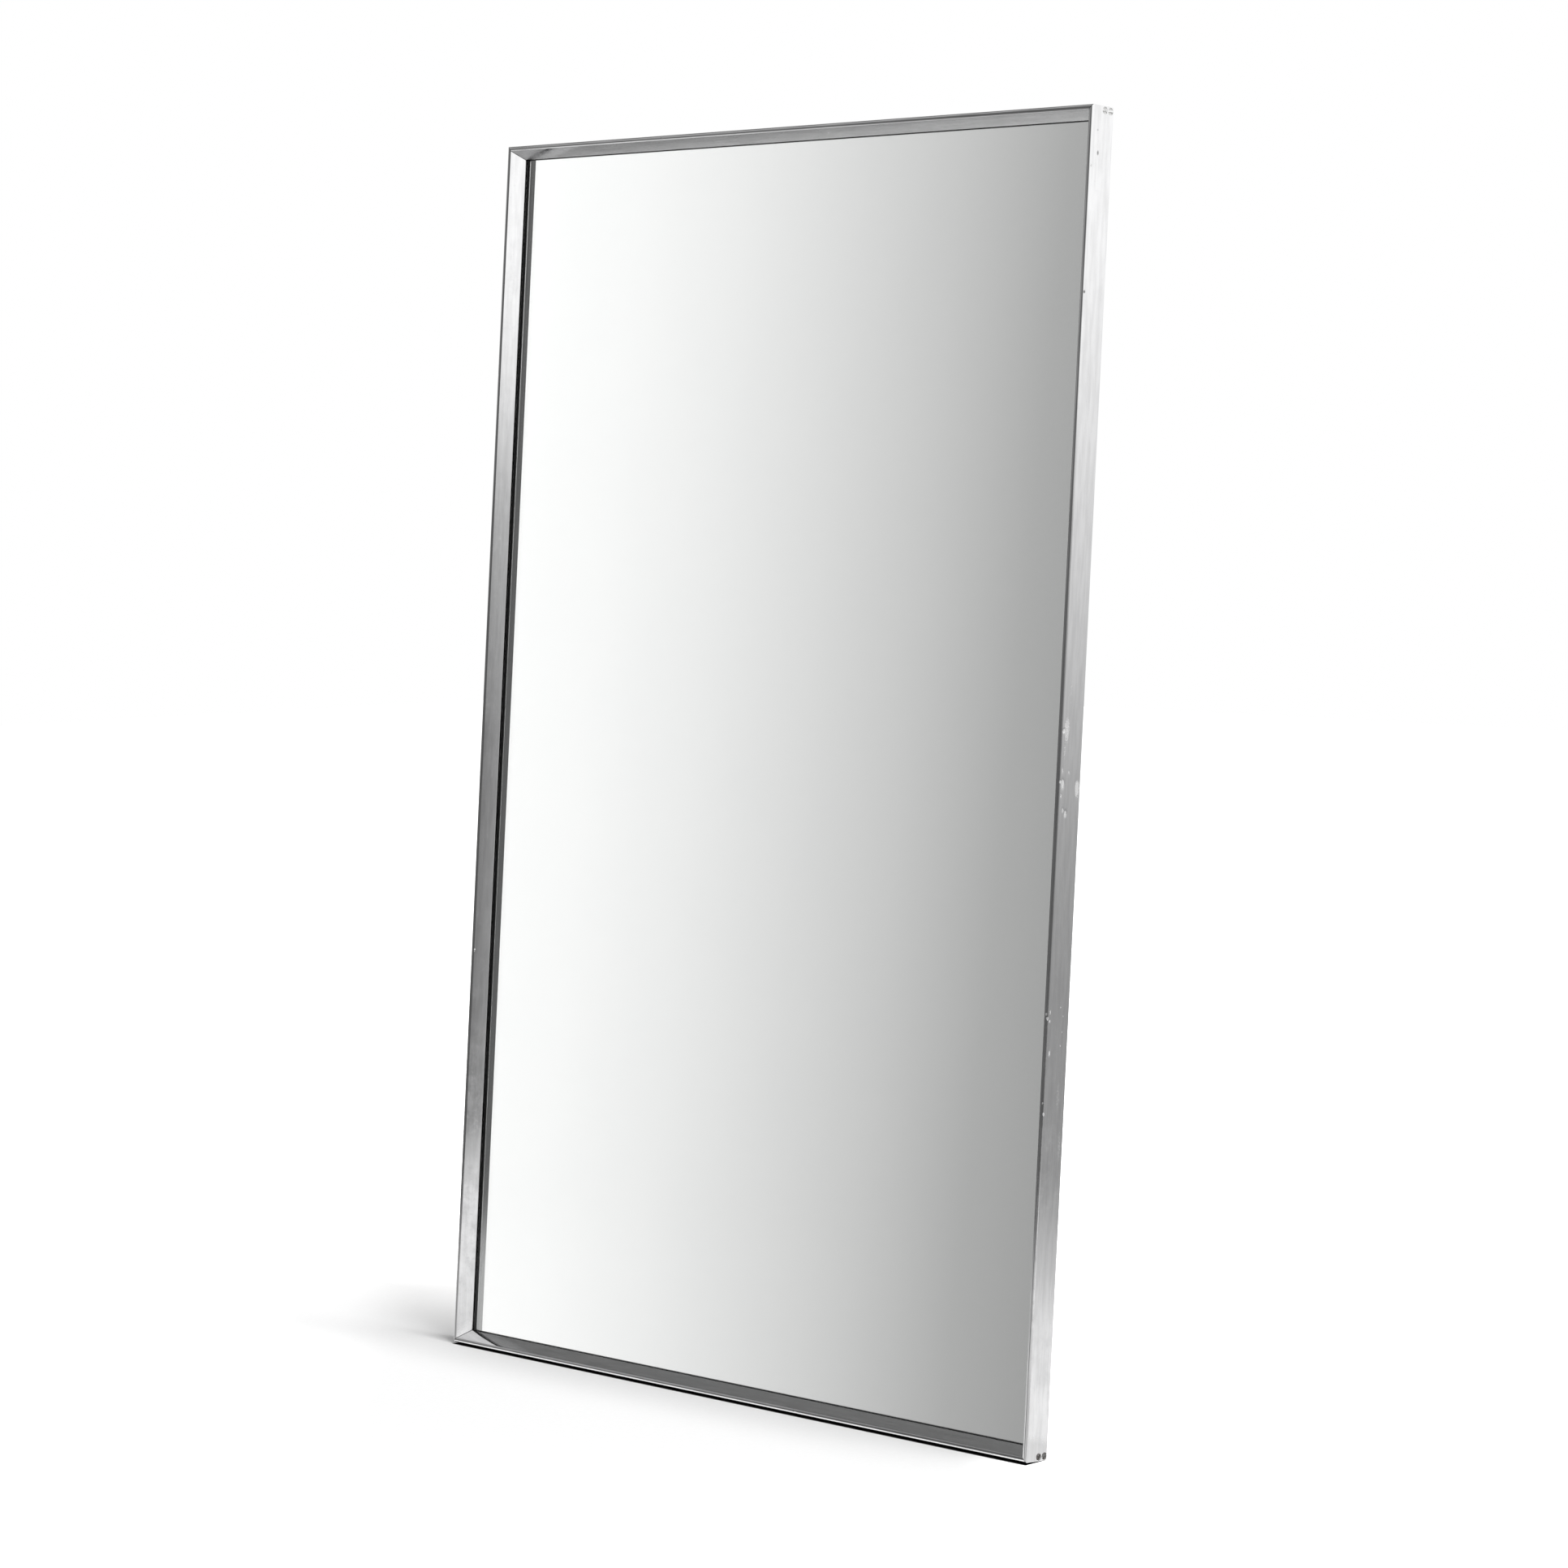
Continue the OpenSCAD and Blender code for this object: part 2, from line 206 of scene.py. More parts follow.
SIDES = ("top", "bottom", "left", "right")
print("node groups made once for each side:", SIDES)

# %% [markdown]
# ## The studio
# A mirror has no colour of its own: it shows the room. The photograph's room is bright high on
# the right, dark round the horizon, and bright again where the paper floor comes near. One way
# is to hang white and grey cards round the object. Here the world itself does it, because a
# smooth change with direction leaves no card edges in the metal. Rays that leave the metal read
# five bands of the room, one above the other. Rays that leave the glass read the smooth sweep
# from white to grey that fills the photographed mirror, and the highest and the lowest band
# above and below it. Rays from the camera read plain white, and rays that light dull surfaces
# read one plain level that ends above the dark horizon.

# %% Bands of the room
def turn(degrees):
    """Where an azimuth lies on a ramp from 0 to 1: straight in front of the mirror is 0.5."""
    return degrees / 360 + 0.5


# The ramps hold the levels below divided by this, so that none is over 1
LEVEL_SCALE = 1.5
# Level of the room by azimuth, from straight in front (0) towards +X (90) and -X (-90)
HIGH = ((-180, 0.30), (-90, 0.21), (-75, 0.198), (-66, 0.198), (-55, 0.46), (-52, 0.52), (-47, 0.46),
        (-40, 0.10), (0, 0.15), (30, 0.45), (52, 0.79), (74, 0.80), (140, 0.60), (180, 0.30))
ABOVE = ((-180, 0.80), (-140, 0.30), (-84, 0.22), (-60, 0.24), (-47, 0.30), (-44, 0.28), (-42.5, 0.15),
         (-40, 0.10), (-25, 0.11), (-4, 0.14), (10, 0.20), (25, 0.60), (45, 1.00), (74, 1.07),
         (140, 1.04), (180, 0.80))
HORIZON = ((-180, 0.30), (-140, 0.12), (-70, 0.09), (-47, 0.14), (-40, 0.10), (-19, 0.09),
           (-13, 0.12), (-9, 0.14), (0, 0.10), (20, 0.10), (45, 0.125), (62, 0.15), (71, 0.205),
           (77, 0.305), (110, 0.30), (140, 0.315), (180, 0.30))
BELOW = ((-180, 0.60), (-84, 0.50), (-47, 0.46), (-44.3, 0.38), (-42.7, 0.20), (-41.4, 0.14),
         (-38, 0.13), (-25, 0.45), (-4, 0.50), (20, 0.69), (45, 0.83), (74, 0.90), (140, 0.92),
         (180, 0.70))
LOW = ((-180, 0.45), (-90, 0.60), (-74, 0.335), (-70.9, 0.325), (-69.5, 0.39), (-68.2, 0.485),
       (-64, 0.52), (-59, 0.88), (-53, 0.95), (-47, 0.70), (-44.3, 0.42), (-42.7, 0.20), (-38, 0.14),
       (-20, 0.50), (0, 0.60), (40, 0.42), (54, 0.36), (74, 0.36), (100, 0.60), (140, 0.92),
       (180, 0.45))
PANE = ((-180, 0.50), (-110, 0.62), (-80, 0.92), (-52, 1.24), (-47.2, 1.145), (-46.4, 1.08),
        (-45.5, 1.0), (-44.6, 0.915), (-43.8, 0.82), (-42.9, 0.73), (-42.2, 0.645), (-41.6, 0.565),
        (-41, 0.487), (-40.3, 0.41), (-39.3, 0.365), (-30, 0.32), (-9, 0.34), (9, 0.80), (30, 0.90),
        (60, 0.75), (180, 0.50))
ROOM_BANDS = {"high": HIGH, "above": ABOVE, "horizon": HORIZON, "below": BELOW, "low": LOW,
              "pane": PANE}
# The sweep in the mirror leans: its azimuth shifts by this much for each degree of elevation
PANE_LEAN = -0.05
# Share of the band above by elevation in degrees, on the mirror's front side and behind it
RISE_SPAN = 12
RISE_FRONT = ((-1, 0), (0.7, 0.15), (2.2, 0.29), (3.3, 0.67), (4.1, 0.86), (5, 1))
RISE_BACK = ((-4, 0), (-1.6, 0.125), (-0.4, 0.26), (1.4, 0.49), (3.2, 0.69), (6.2, 1))
print({name: len(table) for name, table in ROOM_BANDS.items()})

# %% Directions
world = bpy.data.worlds.new("studio")
bpy.context.scene.world = world
world.use_nodes = True
room = Shader(world.node_tree)
# The way that a ray goes, as azimuth and elevation in degrees and as places on the ramps
away = room.add("TexCoord", output="Object")
east, north, height = (room.add("SeparateXYZ", {0: away}, output=axis) for axis in "XYZ")
azimuth = room.math("ARCTAN2", east, room.math("MULTIPLY", north, -1.0))
azimuth = room.math("MULTIPLY", azimuth, 180 / math.pi)
elevation = room.math("MULTIPLY", room.math("ARCSINE", height), 180 / math.pi)
along_ramp = room.math("ADD", room.math("DIVIDE", azimuth, 360), 0.5)
leant = room.plus(along_ramp, elevation, PANE_LEAN / 360)
band = {name: room.ramp(leant if name == "pane" else along_ramp,
                        [(turn(a), level / LEVEL_SCALE) for a, level in table])
        for name, table in ROOM_BANDS.items()}
up_ramp = room.math("ADD", room.math("DIVIDE", elevation, RISE_SPAN * 2), 0.5)
rises = [room.ramp(up_ramp, [(e / RISE_SPAN / 2 + 0.5, share) for e, share in table])
         for table in (RISE_FRONT, RISE_BACK)]
print("room nodes:", len(world.node_tree.nodes))

# %% World
PLAIN_LEVEL = 0.35
# Where one part of the room gives way to the next, in degrees of azimuth or of elevation
BEHIND = (85, 130)
HIGH_START, SKY_START = (12, 26), (3, 24)
BELOW_TOP, BELOW_TOP_BEHIND = (-7.2, -6.0), (-9.5, -6.2)
LOW_TOP, LOW_TOP_IN_GLASS = (-10.6, -7.8), (-18, -11)
# The foot of the dark horizon sinks on both sides: azimuths of its start and end, and degrees
FOOT_DROPS = ((66, 44, 0.9), (80, 92, 1.2))

behind = room.fade(room.math("ABSOLUTE", azimuth), *BEHIND)
rise = room.blend(behind, *rises)
raised = elevation
for start, end, drop in FOOT_DROPS:
    raised = room.math("ADD", raised, room.fade(azimuth, start, end, 0.0, drop))
fall = room.blend(behind, room.fade(raised, *BELOW_TOP), room.fade(elevation, *BELOW_TOP_BEHIND))
# The bands, laid over each other from the horizon outwards
seen = room.blend(rise, band["horizon"], band["above"])
seen = room.blend(fall, band["below"], seen)
seen = room.blend(room.fade(elevation, *LOW_TOP), band["low"], seen)
through_glass = room.add("LightPath", output="Is Transmission Ray")
seen = room.blend(through_glass, seen, band["pane"])
seen = room.blend(room.fade(elevation, *HIGH_START), seen, band["high"])
seen = room.blend(room.fade(elevation, *LOW_TOP_IN_GLASS), band["low"], seen)
seen = room.math("MULTIPLY", seen, LEVEL_SCALE)
shiny = room.math("MAXIMUM", room.add("LightPath", output="Is Glossy Ray"), through_glass)
sky = room.fade(elevation, *SKY_START, 0.0, PLAIN_LEVEL)
level = room.blend(shiny, sky, seen)
level = room.blend(room.add("LightPath", output="Is Camera Ray"), level, 1.0)
background = room.add("Background", {"Color": grey(1), "Strength": level})
room.add("OutputWorld", {"Surface": background})
print("world nodes:", len(world.node_tree.nodes))

# %% [markdown]
# ## The floor
# The mirror leans back by about four degrees. The part could be turned, but its CAD solids stay
# where they were packed. So the floor is tilted under it instead, through the back edge of the
# bottom rail. That leaves the front edge two millimetres above the paper. The floor itself is
# one flat square.

# %% Floor
LEAN = math.radians(3.94)
FLOOR_REACH = 9.0
SQUARE = np.array([(-1, -1), (1, -1), (1, 1), (-1, 1)], float)


def floor_mesh(reach, bottom):
    """A square of floor: y keeps its value and z = bottom + y * tan(lean)."""
    corner = SQUARE * reach
    z = bottom + corner[:, 1] * math.tan(LEAN)
    mesh = bpy.data.meshes.new("floor")
    mesh.from_pydata(np.column_stack([corner, z]).tolist(), [], [(0, 1, 2, 3)])
    return mesh


floor = add_object("floor", floor_mesh(FLOOR_REACH, cad_box[0][2]))
print("floor tilted by", round(math.degrees(LEAN), 2), "degrees")

# %% [markdown]
# ## White paper
# The photograph's paper is so bright that it burns out on the right, on the left and far away.
# More light would do the same, but it would bleach the metal too. So the light stays plain, and
# the white is a glow that only the camera sees, faded in along the photograph's own right and
# depth. Shiny surfaces see a paper that glows a little more than the camera's, and beside the
# frame a darker one, a painted shade, because the lower faces of the metal show both. A few
# centimetres before and behind the frame they look through it at the painted room, whose low
# bands stand for a floor. Under the frame the paper is painted nearly black, a painted shadow,
# so that the narrow gap shows dark.

# %% Paper
# Paper tones, the grey of the painted shade beside the frame, and the grey of the painted shadow under
# it
PAPER_LOW, PAPER_HIGH, REFLECTED_SHADE_GREY, PAINTED_SHADOW_GREY = 0.74, 0.78, 0.43, 0.02
# Soft edges of the painted shadow under the frame and of the painted shade beside it, in metres from
# the sides, back and front
SHADOW_SIDE, SHADOW_BACK, SHADOW_FRONT = (-0.001, 0.0), (-0.002, 0.0), (-0.0020, 0.0004)
REFLECTED_SHADE_EDGE = (0.0, 0.005)

paper, sheet, spot = material("white_paper")
floor.data.materials.append(paper)
across = sheet.math("ABSOLUTE", sheet.add("SeparateXYZ", {0: spot}, output="X"))
depth = sheet.add("SeparateXYZ", {0: spot}, output="Y")
colour = sheet.tint(sheet.noise(spot, 260, 3), grey(PAPER_LOW), grey(PAPER_HIGH))
shadow_side = sheet.edge(across, cad_box[1][0], SHADOW_SIDE, 1.0, 0.0)
shadow_back = sheet.edge(depth, 0.0, SHADOW_BACK, 1.0, 0.0)
# Painted shadow: 1 on the paper under the frame, where its colour turns nearly black
under = sheet.edge(depth, cad_box[0][1], SHADOW_FRONT)
under = sheet.math("MULTIPLY", under, sheet.math("MULTIPLY", shadow_side, shadow_back))
photographed = sheet.add("LightPath", output="Is Camera Ray")
shiny = sheet.math("MAXIMUM", sheet.add("LightPath", output="Is Glossy Ray"),
                   sheet.add("LightPath", output="Is Transmission Ray"))
# Shiny rays see painted shade on the paper just beside the frame
colour = sheet.cover(colour, sheet.edge(across, cad_box[1][0], REFLECTED_SHADE_EDGE), shiny, grey(REFLECTED_SHADE_GREY))
dull = sheet.add("BsdfDiffuse", {"Color": sheet.tint(under, colour, grey(PAINTED_SHADOW_GREY))})
# Size of the painted shadow under the frame
print("print of the frame", round(cad_box[1][0] * 2, 4), "by", round(-cad_box[0][1], 4), "m")

# %% Glow of the paper
PAPER_GLOW, MIRRORED_GLOW = 0.05, 0.20
# The photograph's right and depth on the floor, and the metres along them where white starts
VIEW_RIGHT, VIEW_DEEP = (0.72, 0.692, 0), (-0.692, 0.721, 0)
WHITE_RIGHT, WHITE_LEFT, WHITE_DEEP = (0.19, 0.30), (-0.43, -0.62), (0.50, 0.94)
# A faint glow that only the camera sees lightens the left tail of the lamp's shadow: where it fades in,
# and its share
PALE_LEFT, PALE_SHARE = (-0.340, -0.43), 0.085
FOOT_REACH = 0.035

to_right, to_back = (sheet.add("VectorMath", {0: spot, 1: axis}, operation="DOT_PRODUCT",
                               output="Value") for axis in (VIEW_RIGHT, VIEW_DEEP))
white_out = sheet.fade(to_right, *WHITE_RIGHT)
for part in (sheet.fade(to_right, *WHITE_LEFT), sheet.fade(to_back, *WHITE_DEEP),
             sheet.fade(to_right, *PALE_LEFT, 0.0, PALE_SHARE)):
    white_out = sheet.math("MAXIMUM", white_out, part)
white_out = sheet.math("MULTIPLY", white_out, photographed)
strength = sheet.blend(white_out, sheet.blend(shiny, PAPER_GLOW, MIRRORED_GLOW), 1.0)
# The glow is taken away in the painted shadow under the frame
strength = sheet.math("MULTIPLY", strength, sheet.math("SUBTRACT", 1.0, under))
glow = sheet.add("Emission", {"Color": grey(1), "Strength": strength})
lit = sheet.add("AddShader", {0: dull, 1: glow})
page = sheet.add("MixShader", {0: sheet.math("MAXIMUM", photographed, shiny), 1: dull, 2: lit})
far_off = sheet.fade(sheet.math("ABSOLUTE", depth), FOOT_REACH, FOOT_REACH * 2)
clear = sheet.add("BsdfTransparent")
mixed = sheet.add("MixShader", {0: sheet.math("MULTIPLY", shiny, far_off), 1: page, 2: clear})
sheet.add("OutputMaterial", {"Surface": mixed})
print("paper nodes:", len(paper.node_tree.nodes))

# %% [markdown]
# ## Light
# The photograph's shadow is a short soft fan to the left of the foot, so the light comes from
# nearly overhead. One soft lamp and the plain sky were fitted to the tones of that fan: the lamp
# hangs high above, to the right and just in front of the glass, and gives the paper three
# quarters of its light. The metal and the glass don't see it, as the painted room has its own
# bright parts.

# %% Lamp
def soft_lamp(name, place, target, size, power):
    """A square lamp at a place, turned so that its -Z axis points at the target."""
    lamp = add_object(name, bpy.data.lights.new(name, "AREA"))
    lamp.data.shape = "SQUARE"
    lamp.data.size = size
    lamp.data.energy = power
    aim = Vector(target) - Vector(place)
    lamp.matrix_world = Matrix.Translation(place) @ aim.to_track_quat("-Z", "Y").to_matrix().to_4x4()
    lamp.visible_glossy = False
    lamp.visible_transmission = False
    return lamp


high_lamp = soft_lamp("high_lamp", place=(0.98, -0.25, 5.9), target=(-0.38, 0, -1.05),
                      size=1.3, power=495)
print("lamp", high_lamp.name, high_lamp.data.energy, "W")

# %% [markdown]
# ## The frame's section
# All four bars are cut from one extrusion. Its outline starts at the wall, runs forward along
# the outer face, rounds the front edge with two circles that touch without a kink, slopes back
# to a rounded lip over the glass, and returns inside past two screw ports to the rear flange.
# The sizes are those of the CAD section, in millimetres, so the mesh lies on the packed solids.
# Only the small roundings of the sharp edges and the slight bow of the slope are new here.

# %% Section sizes
MM = 0.001
FRAME_D = 28.5
NOSE_W, CROWN_R, NOSE_R, NOSE_T = 4.4, 7.0, 2.0, 2.0
WALL_T, WEB_T, SLOPE_W, SLOPE_D = 1.6, 1.0, 7.6, 14.0
FLANGE_W, FLANGE_T = 16.5, 1.5
PORT_U, PORT_R, PORT_WALL, PORT_SLIT = 3.9, 1.45, 0.95, 1.3
PORT_BACK, PORT_GAP = 3.6, 7.7
PORT_V = (FRAME_D - PORT_BACK - PORT_GAP, FRAME_D - PORT_BACK)
EDGE_R, FRONT_EDGE_R, BOW = 0.35, 0.6, 0.08

crown_u = NOSE_W / 2
nose_v = CROWN_R - math.sqrt(CROWN_R ** 2 - crown_u ** 2)
corner_v = CROWN_R - math.sqrt((CROWN_R - NOSE_R) ** 2 - (crown_u - NOSE_R) ** 2)
slope_turn = math.atan2(SLOPE_D - nose_v, SLOPE_W)
lip_u = NOSE_W + SLOPE_W - WEB_T / 2 * math.sin(slope_turn)
lip_v = SLOPE_D + WEB_T / 2 * math.cos(slope_turn)
port_out = PORT_R + PORT_WALL
flange_v = FRAME_D - FLANGE_T
print("slope at", round(math.degrees(slope_turn), 1), "degrees to the glass")

# %% Curves
def arc(centre, radius, start, end, steps):
    """Points on a circle: centre + radius * (cos, sin), the angle going evenly from start to end."""
    angle = np.radians(np.linspace(start, end, steps))
    return np.column_stack([centre[0] + radius * np.cos(angle), centre[1] + radius * np.sin(angle)])


def line(start, end, steps, hold=0.25):
    """Points on a straight line, with one more point near each end that keeps its shading flat."""
    share = np.linspace(0, 1, steps)
    near = hold / math.dist(start, end)
    share = np.unique(np.concatenate([share, [near, 1 - near]]).clip(0, 1))
    return np.array(start) + share[:, None] * (np.array(end) - np.array(start))


def bowed(points, rise):
    """A straight run made slightly round: each point moves out by rise * 4 * s * (1 - s), where s
    goes from 0 to 1 along the run. Outwards is to the right of the way that the run goes."""
    chord = points[-1] - points[0]
    length = np.linalg.norm(chord)
    share = np.linalg.norm(points - points[0], axis=1) / length
    return points + (rise * 4 * share * (1 - share))[:, None] * np.array([chord[1], -chord[0]]) / length


print("the middle of a run of 2 bowed by 1:", bowed(np.array([(0, 0), (1, 0), (2.0, 0)]), 1)[1])

# %% Screw port
def port(centre_v, last):
    """A screw port: out round its wall, in through the slit, round the bore, and out again.
    The angle where a circle of radius r meets the slit is the arcsine of half the slit over r."""
    outer = math.degrees(math.asin(PORT_SLIT / 2 / port_out))
    inner = math.degrees(math.asin(PORT_SLIT / 2 / PORT_R))
    centre = (PORT_U, centre_v)
    return np.concatenate([
        [(WALL_T, centre_v - port_out)],
        arc(centre, port_out, -90, -outer, 8),
        arc(centre, PORT_R, -inner, inner - 360, 20),
        arc(centre, port_out, outer, last, 8)])


print("screw ports at", PORT_V, "mm behind the front")

# %% Section outline
def section_outline(face_steps):
    """The closed outline, once round, as (distance in from the outer face, depth from the front).
    Angles are in degrees: normal is the way the slope faces, meet is where the corner's circle
    touches the crown and crown_end where the crown meets the slope. The small rounding between
    those two touches both, so its centre lies at radius / cos(half_turn) from their corner and
    it cuts radius * tan(half_turn) off each."""
    normal = math.degrees(slope_turn) - 90
    meet = math.degrees(math.atan2(corner_v - CROWN_R, NOSE_R - crown_u))
    crown_end = math.degrees(math.atan2(nose_v - CROWN_R, crown_u))
    web_u = NOSE_W - WEB_T / math.sin(slope_turn)
    web_top = (web_u + (NOSE_T - nose_v) / math.tan(slope_turn), NOSE_T)
    lip_start = (lip_u + WEB_T / 2 * math.cos(math.radians(normal)),
                 lip_v + WEB_T / 2 * math.sin(math.radians(normal)))
    last = math.degrees(math.asin((flange_v - PORT_V[1]) / port_out))
    edge_turn, half_turn = (crown_end + normal) / 2, math.radians(normal - crown_end) / 2
    cut, inset = FRONT_EDGE_R * math.tan(half_turn), FRONT_EDGE_R / math.cos(half_turn)
    edge = (NOSE_W - inset * math.cos(math.radians(edge_turn)),
            nose_v - inset * math.sin(math.radians(edge_turn)))
    slope_start = (NOSE_W + cut * math.cos(slope_turn), nose_v + cut * math.sin(slope_turn))
    crown_stop = 360 + crown_end - math.degrees(cut / CROWN_R)
    corner = (EDGE_R, FRAME_D - EDGE_R)
    tip = FLANGE_W - EDGE_R
    return np.concatenate([
        arc(corner, EDGE_R, 90, 180, 4)[:-1],
        line((0, FRAME_D - EDGE_R), (0, corner_v), face_steps),
        arc((NOSE_R, corner_v), NOSE_R, 180, 360 + meet, 14)[1:-1],
        arc((crown_u, CROWN_R), CROWN_R, 360 + meet, crown_stop, 10),
        arc(edge, FRONT_EDGE_R, crown_end, normal, 6)[1:-1],
        bowed(line(slope_start, lip_start, 14), BOW),
        arc((lip_u, lip_v), WEB_T / 2, normal, normal + 180, 9)[1:],
        [web_top, (WALL_T, NOSE_T)],
        port(PORT_V[0], 90), [(WALL_T, PORT_V[0] + port_out)],
        port(PORT_V[1], last),
        arc((tip, flange_v + EDGE_R), EDGE_R, -90, 0, 4),
        arc((tip, FRAME_D - EDGE_R), EDGE_R, 0, 90, 4)]) * MM


print("outline points:", len(section_outline(8)))

# %% [markdown]
# ## The four bars
# A bar is its outline carried along a straight line. The ends are cut at 45 degrees, so the
# further a point lies inwards, the sooner its line stops. A grid does this at once: one
# direction runs round the outline, the other along the bar, and every vertex is worked out by
# the same formula. The last ring at each end is drawn in a little, as a file breaks a sawn edge,
# and that is what shows as a fine dark line at each mitre.

# %% Stations along a bar
# Half the gap at a mitre, how far its edge is filed in, and how far its dirt runs out
MITRE_GAP, FILED, SEAM = 0.04 * MM, 0.12 * MM, 0.5 * MM
EVEN_STATIONS, CLOSEST = 41, 0.05 * MM


def bar_stations(length, marks, fine=0.6 * MM):
    """Distances from the bar's middle: even steps, one ring each for the filed edge and the end
    of the seam, and over the reach of each mark steps of a sixth of its own length, but never
    shorter than the fine step. A mark reaches 1 mm and 1.6 of its lengths to each side."""
    half = length / 2 - MITRE_GAP
    steps = [np.linspace(-half, half, EVEN_STATIONS)]
    steps += [[-half + inset, half - inset] for inset in (FILED, SEAM)]
    for centre, radius, _, _, stretch in marks:
        reach = (1 + 1.6 * radius * stretch) * MM
        step = max(fine, radius * stretch * MM / 6)
        steps.append(np.arange(centre[2] * MM - reach, centre[2] * MM + reach, step))
    steps = np.unique(np.round(np.concatenate(steps), 6).clip(-half, half))
    return steps[np.append(np.diff(steps) > CLOSEST, True)]


print("stations of a bar without marks:", len(bar_stations(1.2, ())))

# %% Wear
def wear_field(points, marks):
    """Depth, scuff and dirt of the marks at each point. A mark reaches one radius across the bar
    and radius * stretch along it; with away counted in those reaches it sinks as
    exp(-away squared) and is scuffed as exp(-(away / 1.3) to the fourth)."""
    depth, scuff, dirt = np.zeros((3, len(points)))
    for centre, radius, sunk, bright, stretch in marks:
        reach = np.array((radius, radius, radius * stretch)) * MM
        away = np.linalg.norm((points - np.array(centre) * MM) / reach, axis=1)
        depth += np.exp(-away ** 2) * sunk * MM
        shade = bright * np.exp(-(away / 1.3) ** 4)
        scuff, dirt = np.maximum(scuff, shade), np.maximum(dirt, -shade)
    return depth, scuff, dirt


def crease(outline, start):
    """1 on the lip behind a depth, where shade is painted between metal and glass, and 0 elsewhere. The
    lip is what lies within 0.6 of the web's thickness of the middle of its rounding."""
    near = np.linalg.norm(outline / MM - (lip_u, lip_v), axis=1) < WEB_T * 0.6
    return near & (outline[:, 1] > (lip_v + start) * MM)


def patch(points, spot):
    """How much a hazy patch (centre, radius) covers each point: exp(-(distance / radius)
    squared), and nothing where there is no patch."""
    if spot is None:
        return np.zeros(len(points))
    away = np.linalg.norm(points - np.array(spot[0]) * MM, axis=1) / (spot[1] * MM)
    return np.exp(-away ** 2)


print("haze one radius away:", patch(np.array([(MM, 0, 0)]), ((0, 0, 0), 1)).round(3))

# %% Bar grid
# Share of dirt in the seam of a mitre, and how far in from the outer face it starts
SEAM_DIRT, SEAM_FROM = 0.85, 0.3 * MM


def outline_normals(outline):
    """Outward normals of a closed outline: the chord between a point's neighbours, turned by 90
    degrees. The sign of the area that the outline goes round tells which side is outside."""
    chord = np.roll(outline, -1, 0) - np.roll(outline, 1, 0)
    normal = np.column_stack([-chord[:, 1], chord[:, 0]])
    u, v = outline.T
    area = np.sum(u * np.roll(v, -1) - np.roll(u, -1) * v)
    return -np.sign(area) * normal / np.linalg.norm(normal, axis=1, keepdims=True)


def bar_mesh(length, face_steps, marks, dirt, start, haze):
    """Grid of outline points (i) by stations (j): along = station * share, where share shrinks
    each line to its mitred length, and across, back = the outline, pushed in by the wear. Dirt
    fills the seam of each mitre, except on the outer face, and painted shade fills the crease of
    the lip."""
    outline = section_outline(face_steps)
    normal = outline_normals(outline)
    station = bar_stations(length, marks)
    half = length / 2 - MITRE_GAP
    filed = np.where(np.abs(station) > half - FILED / 2, FILED, 0.0)
    ring = outline[None] - normal[None] * filed[:, None, None]
    share = (half - ring[..., 0]) / half
    grid = np.dstack([ring, station[:, None] * share])
    flat = grid.reshape(-1, 3)
    depth, scuff, spots = wear_field(flat, marks)
    flat[:, :2] -= np.tile(normal, (len(station), 1)) * depth[:, None]
    seam = np.outer(np.abs(station) > half - FILED * 1.5, outline[:, 0] > SEAM_FROM) * SEAM_DIRT
    # The lip's crease gets painted shade, as much as the dirt argument says
    dirt_and_shade = np.maximum(seam, crease(outline, start) * dirt).ravel()
    worn = {"scuff": scuff, "dirt_and_shade": np.maximum(dirt_and_shade, spots), "haze": patch(flat, haze)}
    return outline, station, flat, worn


print("outline normals:", outline_normals(section_outline(8)).shape)

# %% Grid to mesh
def grid_faces(rows, columns):
    """Quads of a grid that closes round its columns: each joins a vertex to its right, upper right
    and upper neighbours."""
    row, column = np.divmod(np.arange((rows - 1) * columns), columns)
    right = (column + 1) % columns
    return np.column_stack([row * columns + column, row * columns + right,
                            (row + 1) * columns + right, (row + 1) * columns + column])


def grid_caps(rows, columns):
    """The flat faces that close such a grid: its first row, turned round, and its last row."""
    return [np.arange(columns)[::-1], np.arange(columns) + (rows - 1) * columns]


def signed_volume(points, quads):
    """Six times the volume under each half quad, summed: it is negative when faces point inwards."""
    a, b, c, d = (points[quads[:, k]] for k in range(4))
    return float(np.sum(np.cross(a, b) * c) + np.sum(np.cross(a, c) * d))


print("a grid of 3 by 4 has", len(grid_faces(3, 4)), "quads")

# %% Mesh of a bar
SHARP = math.radians(28)


def finish_mesh(name, points, quads, caps, run, worn):
    """A mesh from points, quads and end faces, with the run of the metal as its UV map (metres
    along the bar, metres round the section), and scuff, dirt with painted shade, and haze as
    attributes."""
    if signed_volume(points, quads) < 0:
        quads, run, caps = quads[:, ::-1], run[:, ::-1], [cap[::-1] for cap in caps]
    mesh = bpy.data.meshes.new(name)
    mesh.from_pydata(points.tolist(), [], quads.tolist() + [list(map(int, cap)) for cap in caps])
    uv = mesh.uv_layers.new(name="run")
    ends = np.zeros((len(mesh.loops) - run.size // 2, 2))
    uv.data.foreach_set("uv", np.concatenate([run.reshape(-1, 2), ends]).ravel())
    for kind, values in worn.items():
        mesh.attributes.new(kind, "FLOAT", "POINT").data.foreach_set("value", values.astype(np.float32))
    mesh.polygons.foreach_set("use_smooth", np.ones(len(mesh.polygons), bool))
    mesh.set_sharp_from_angle(angle=SHARP)
    return mesh


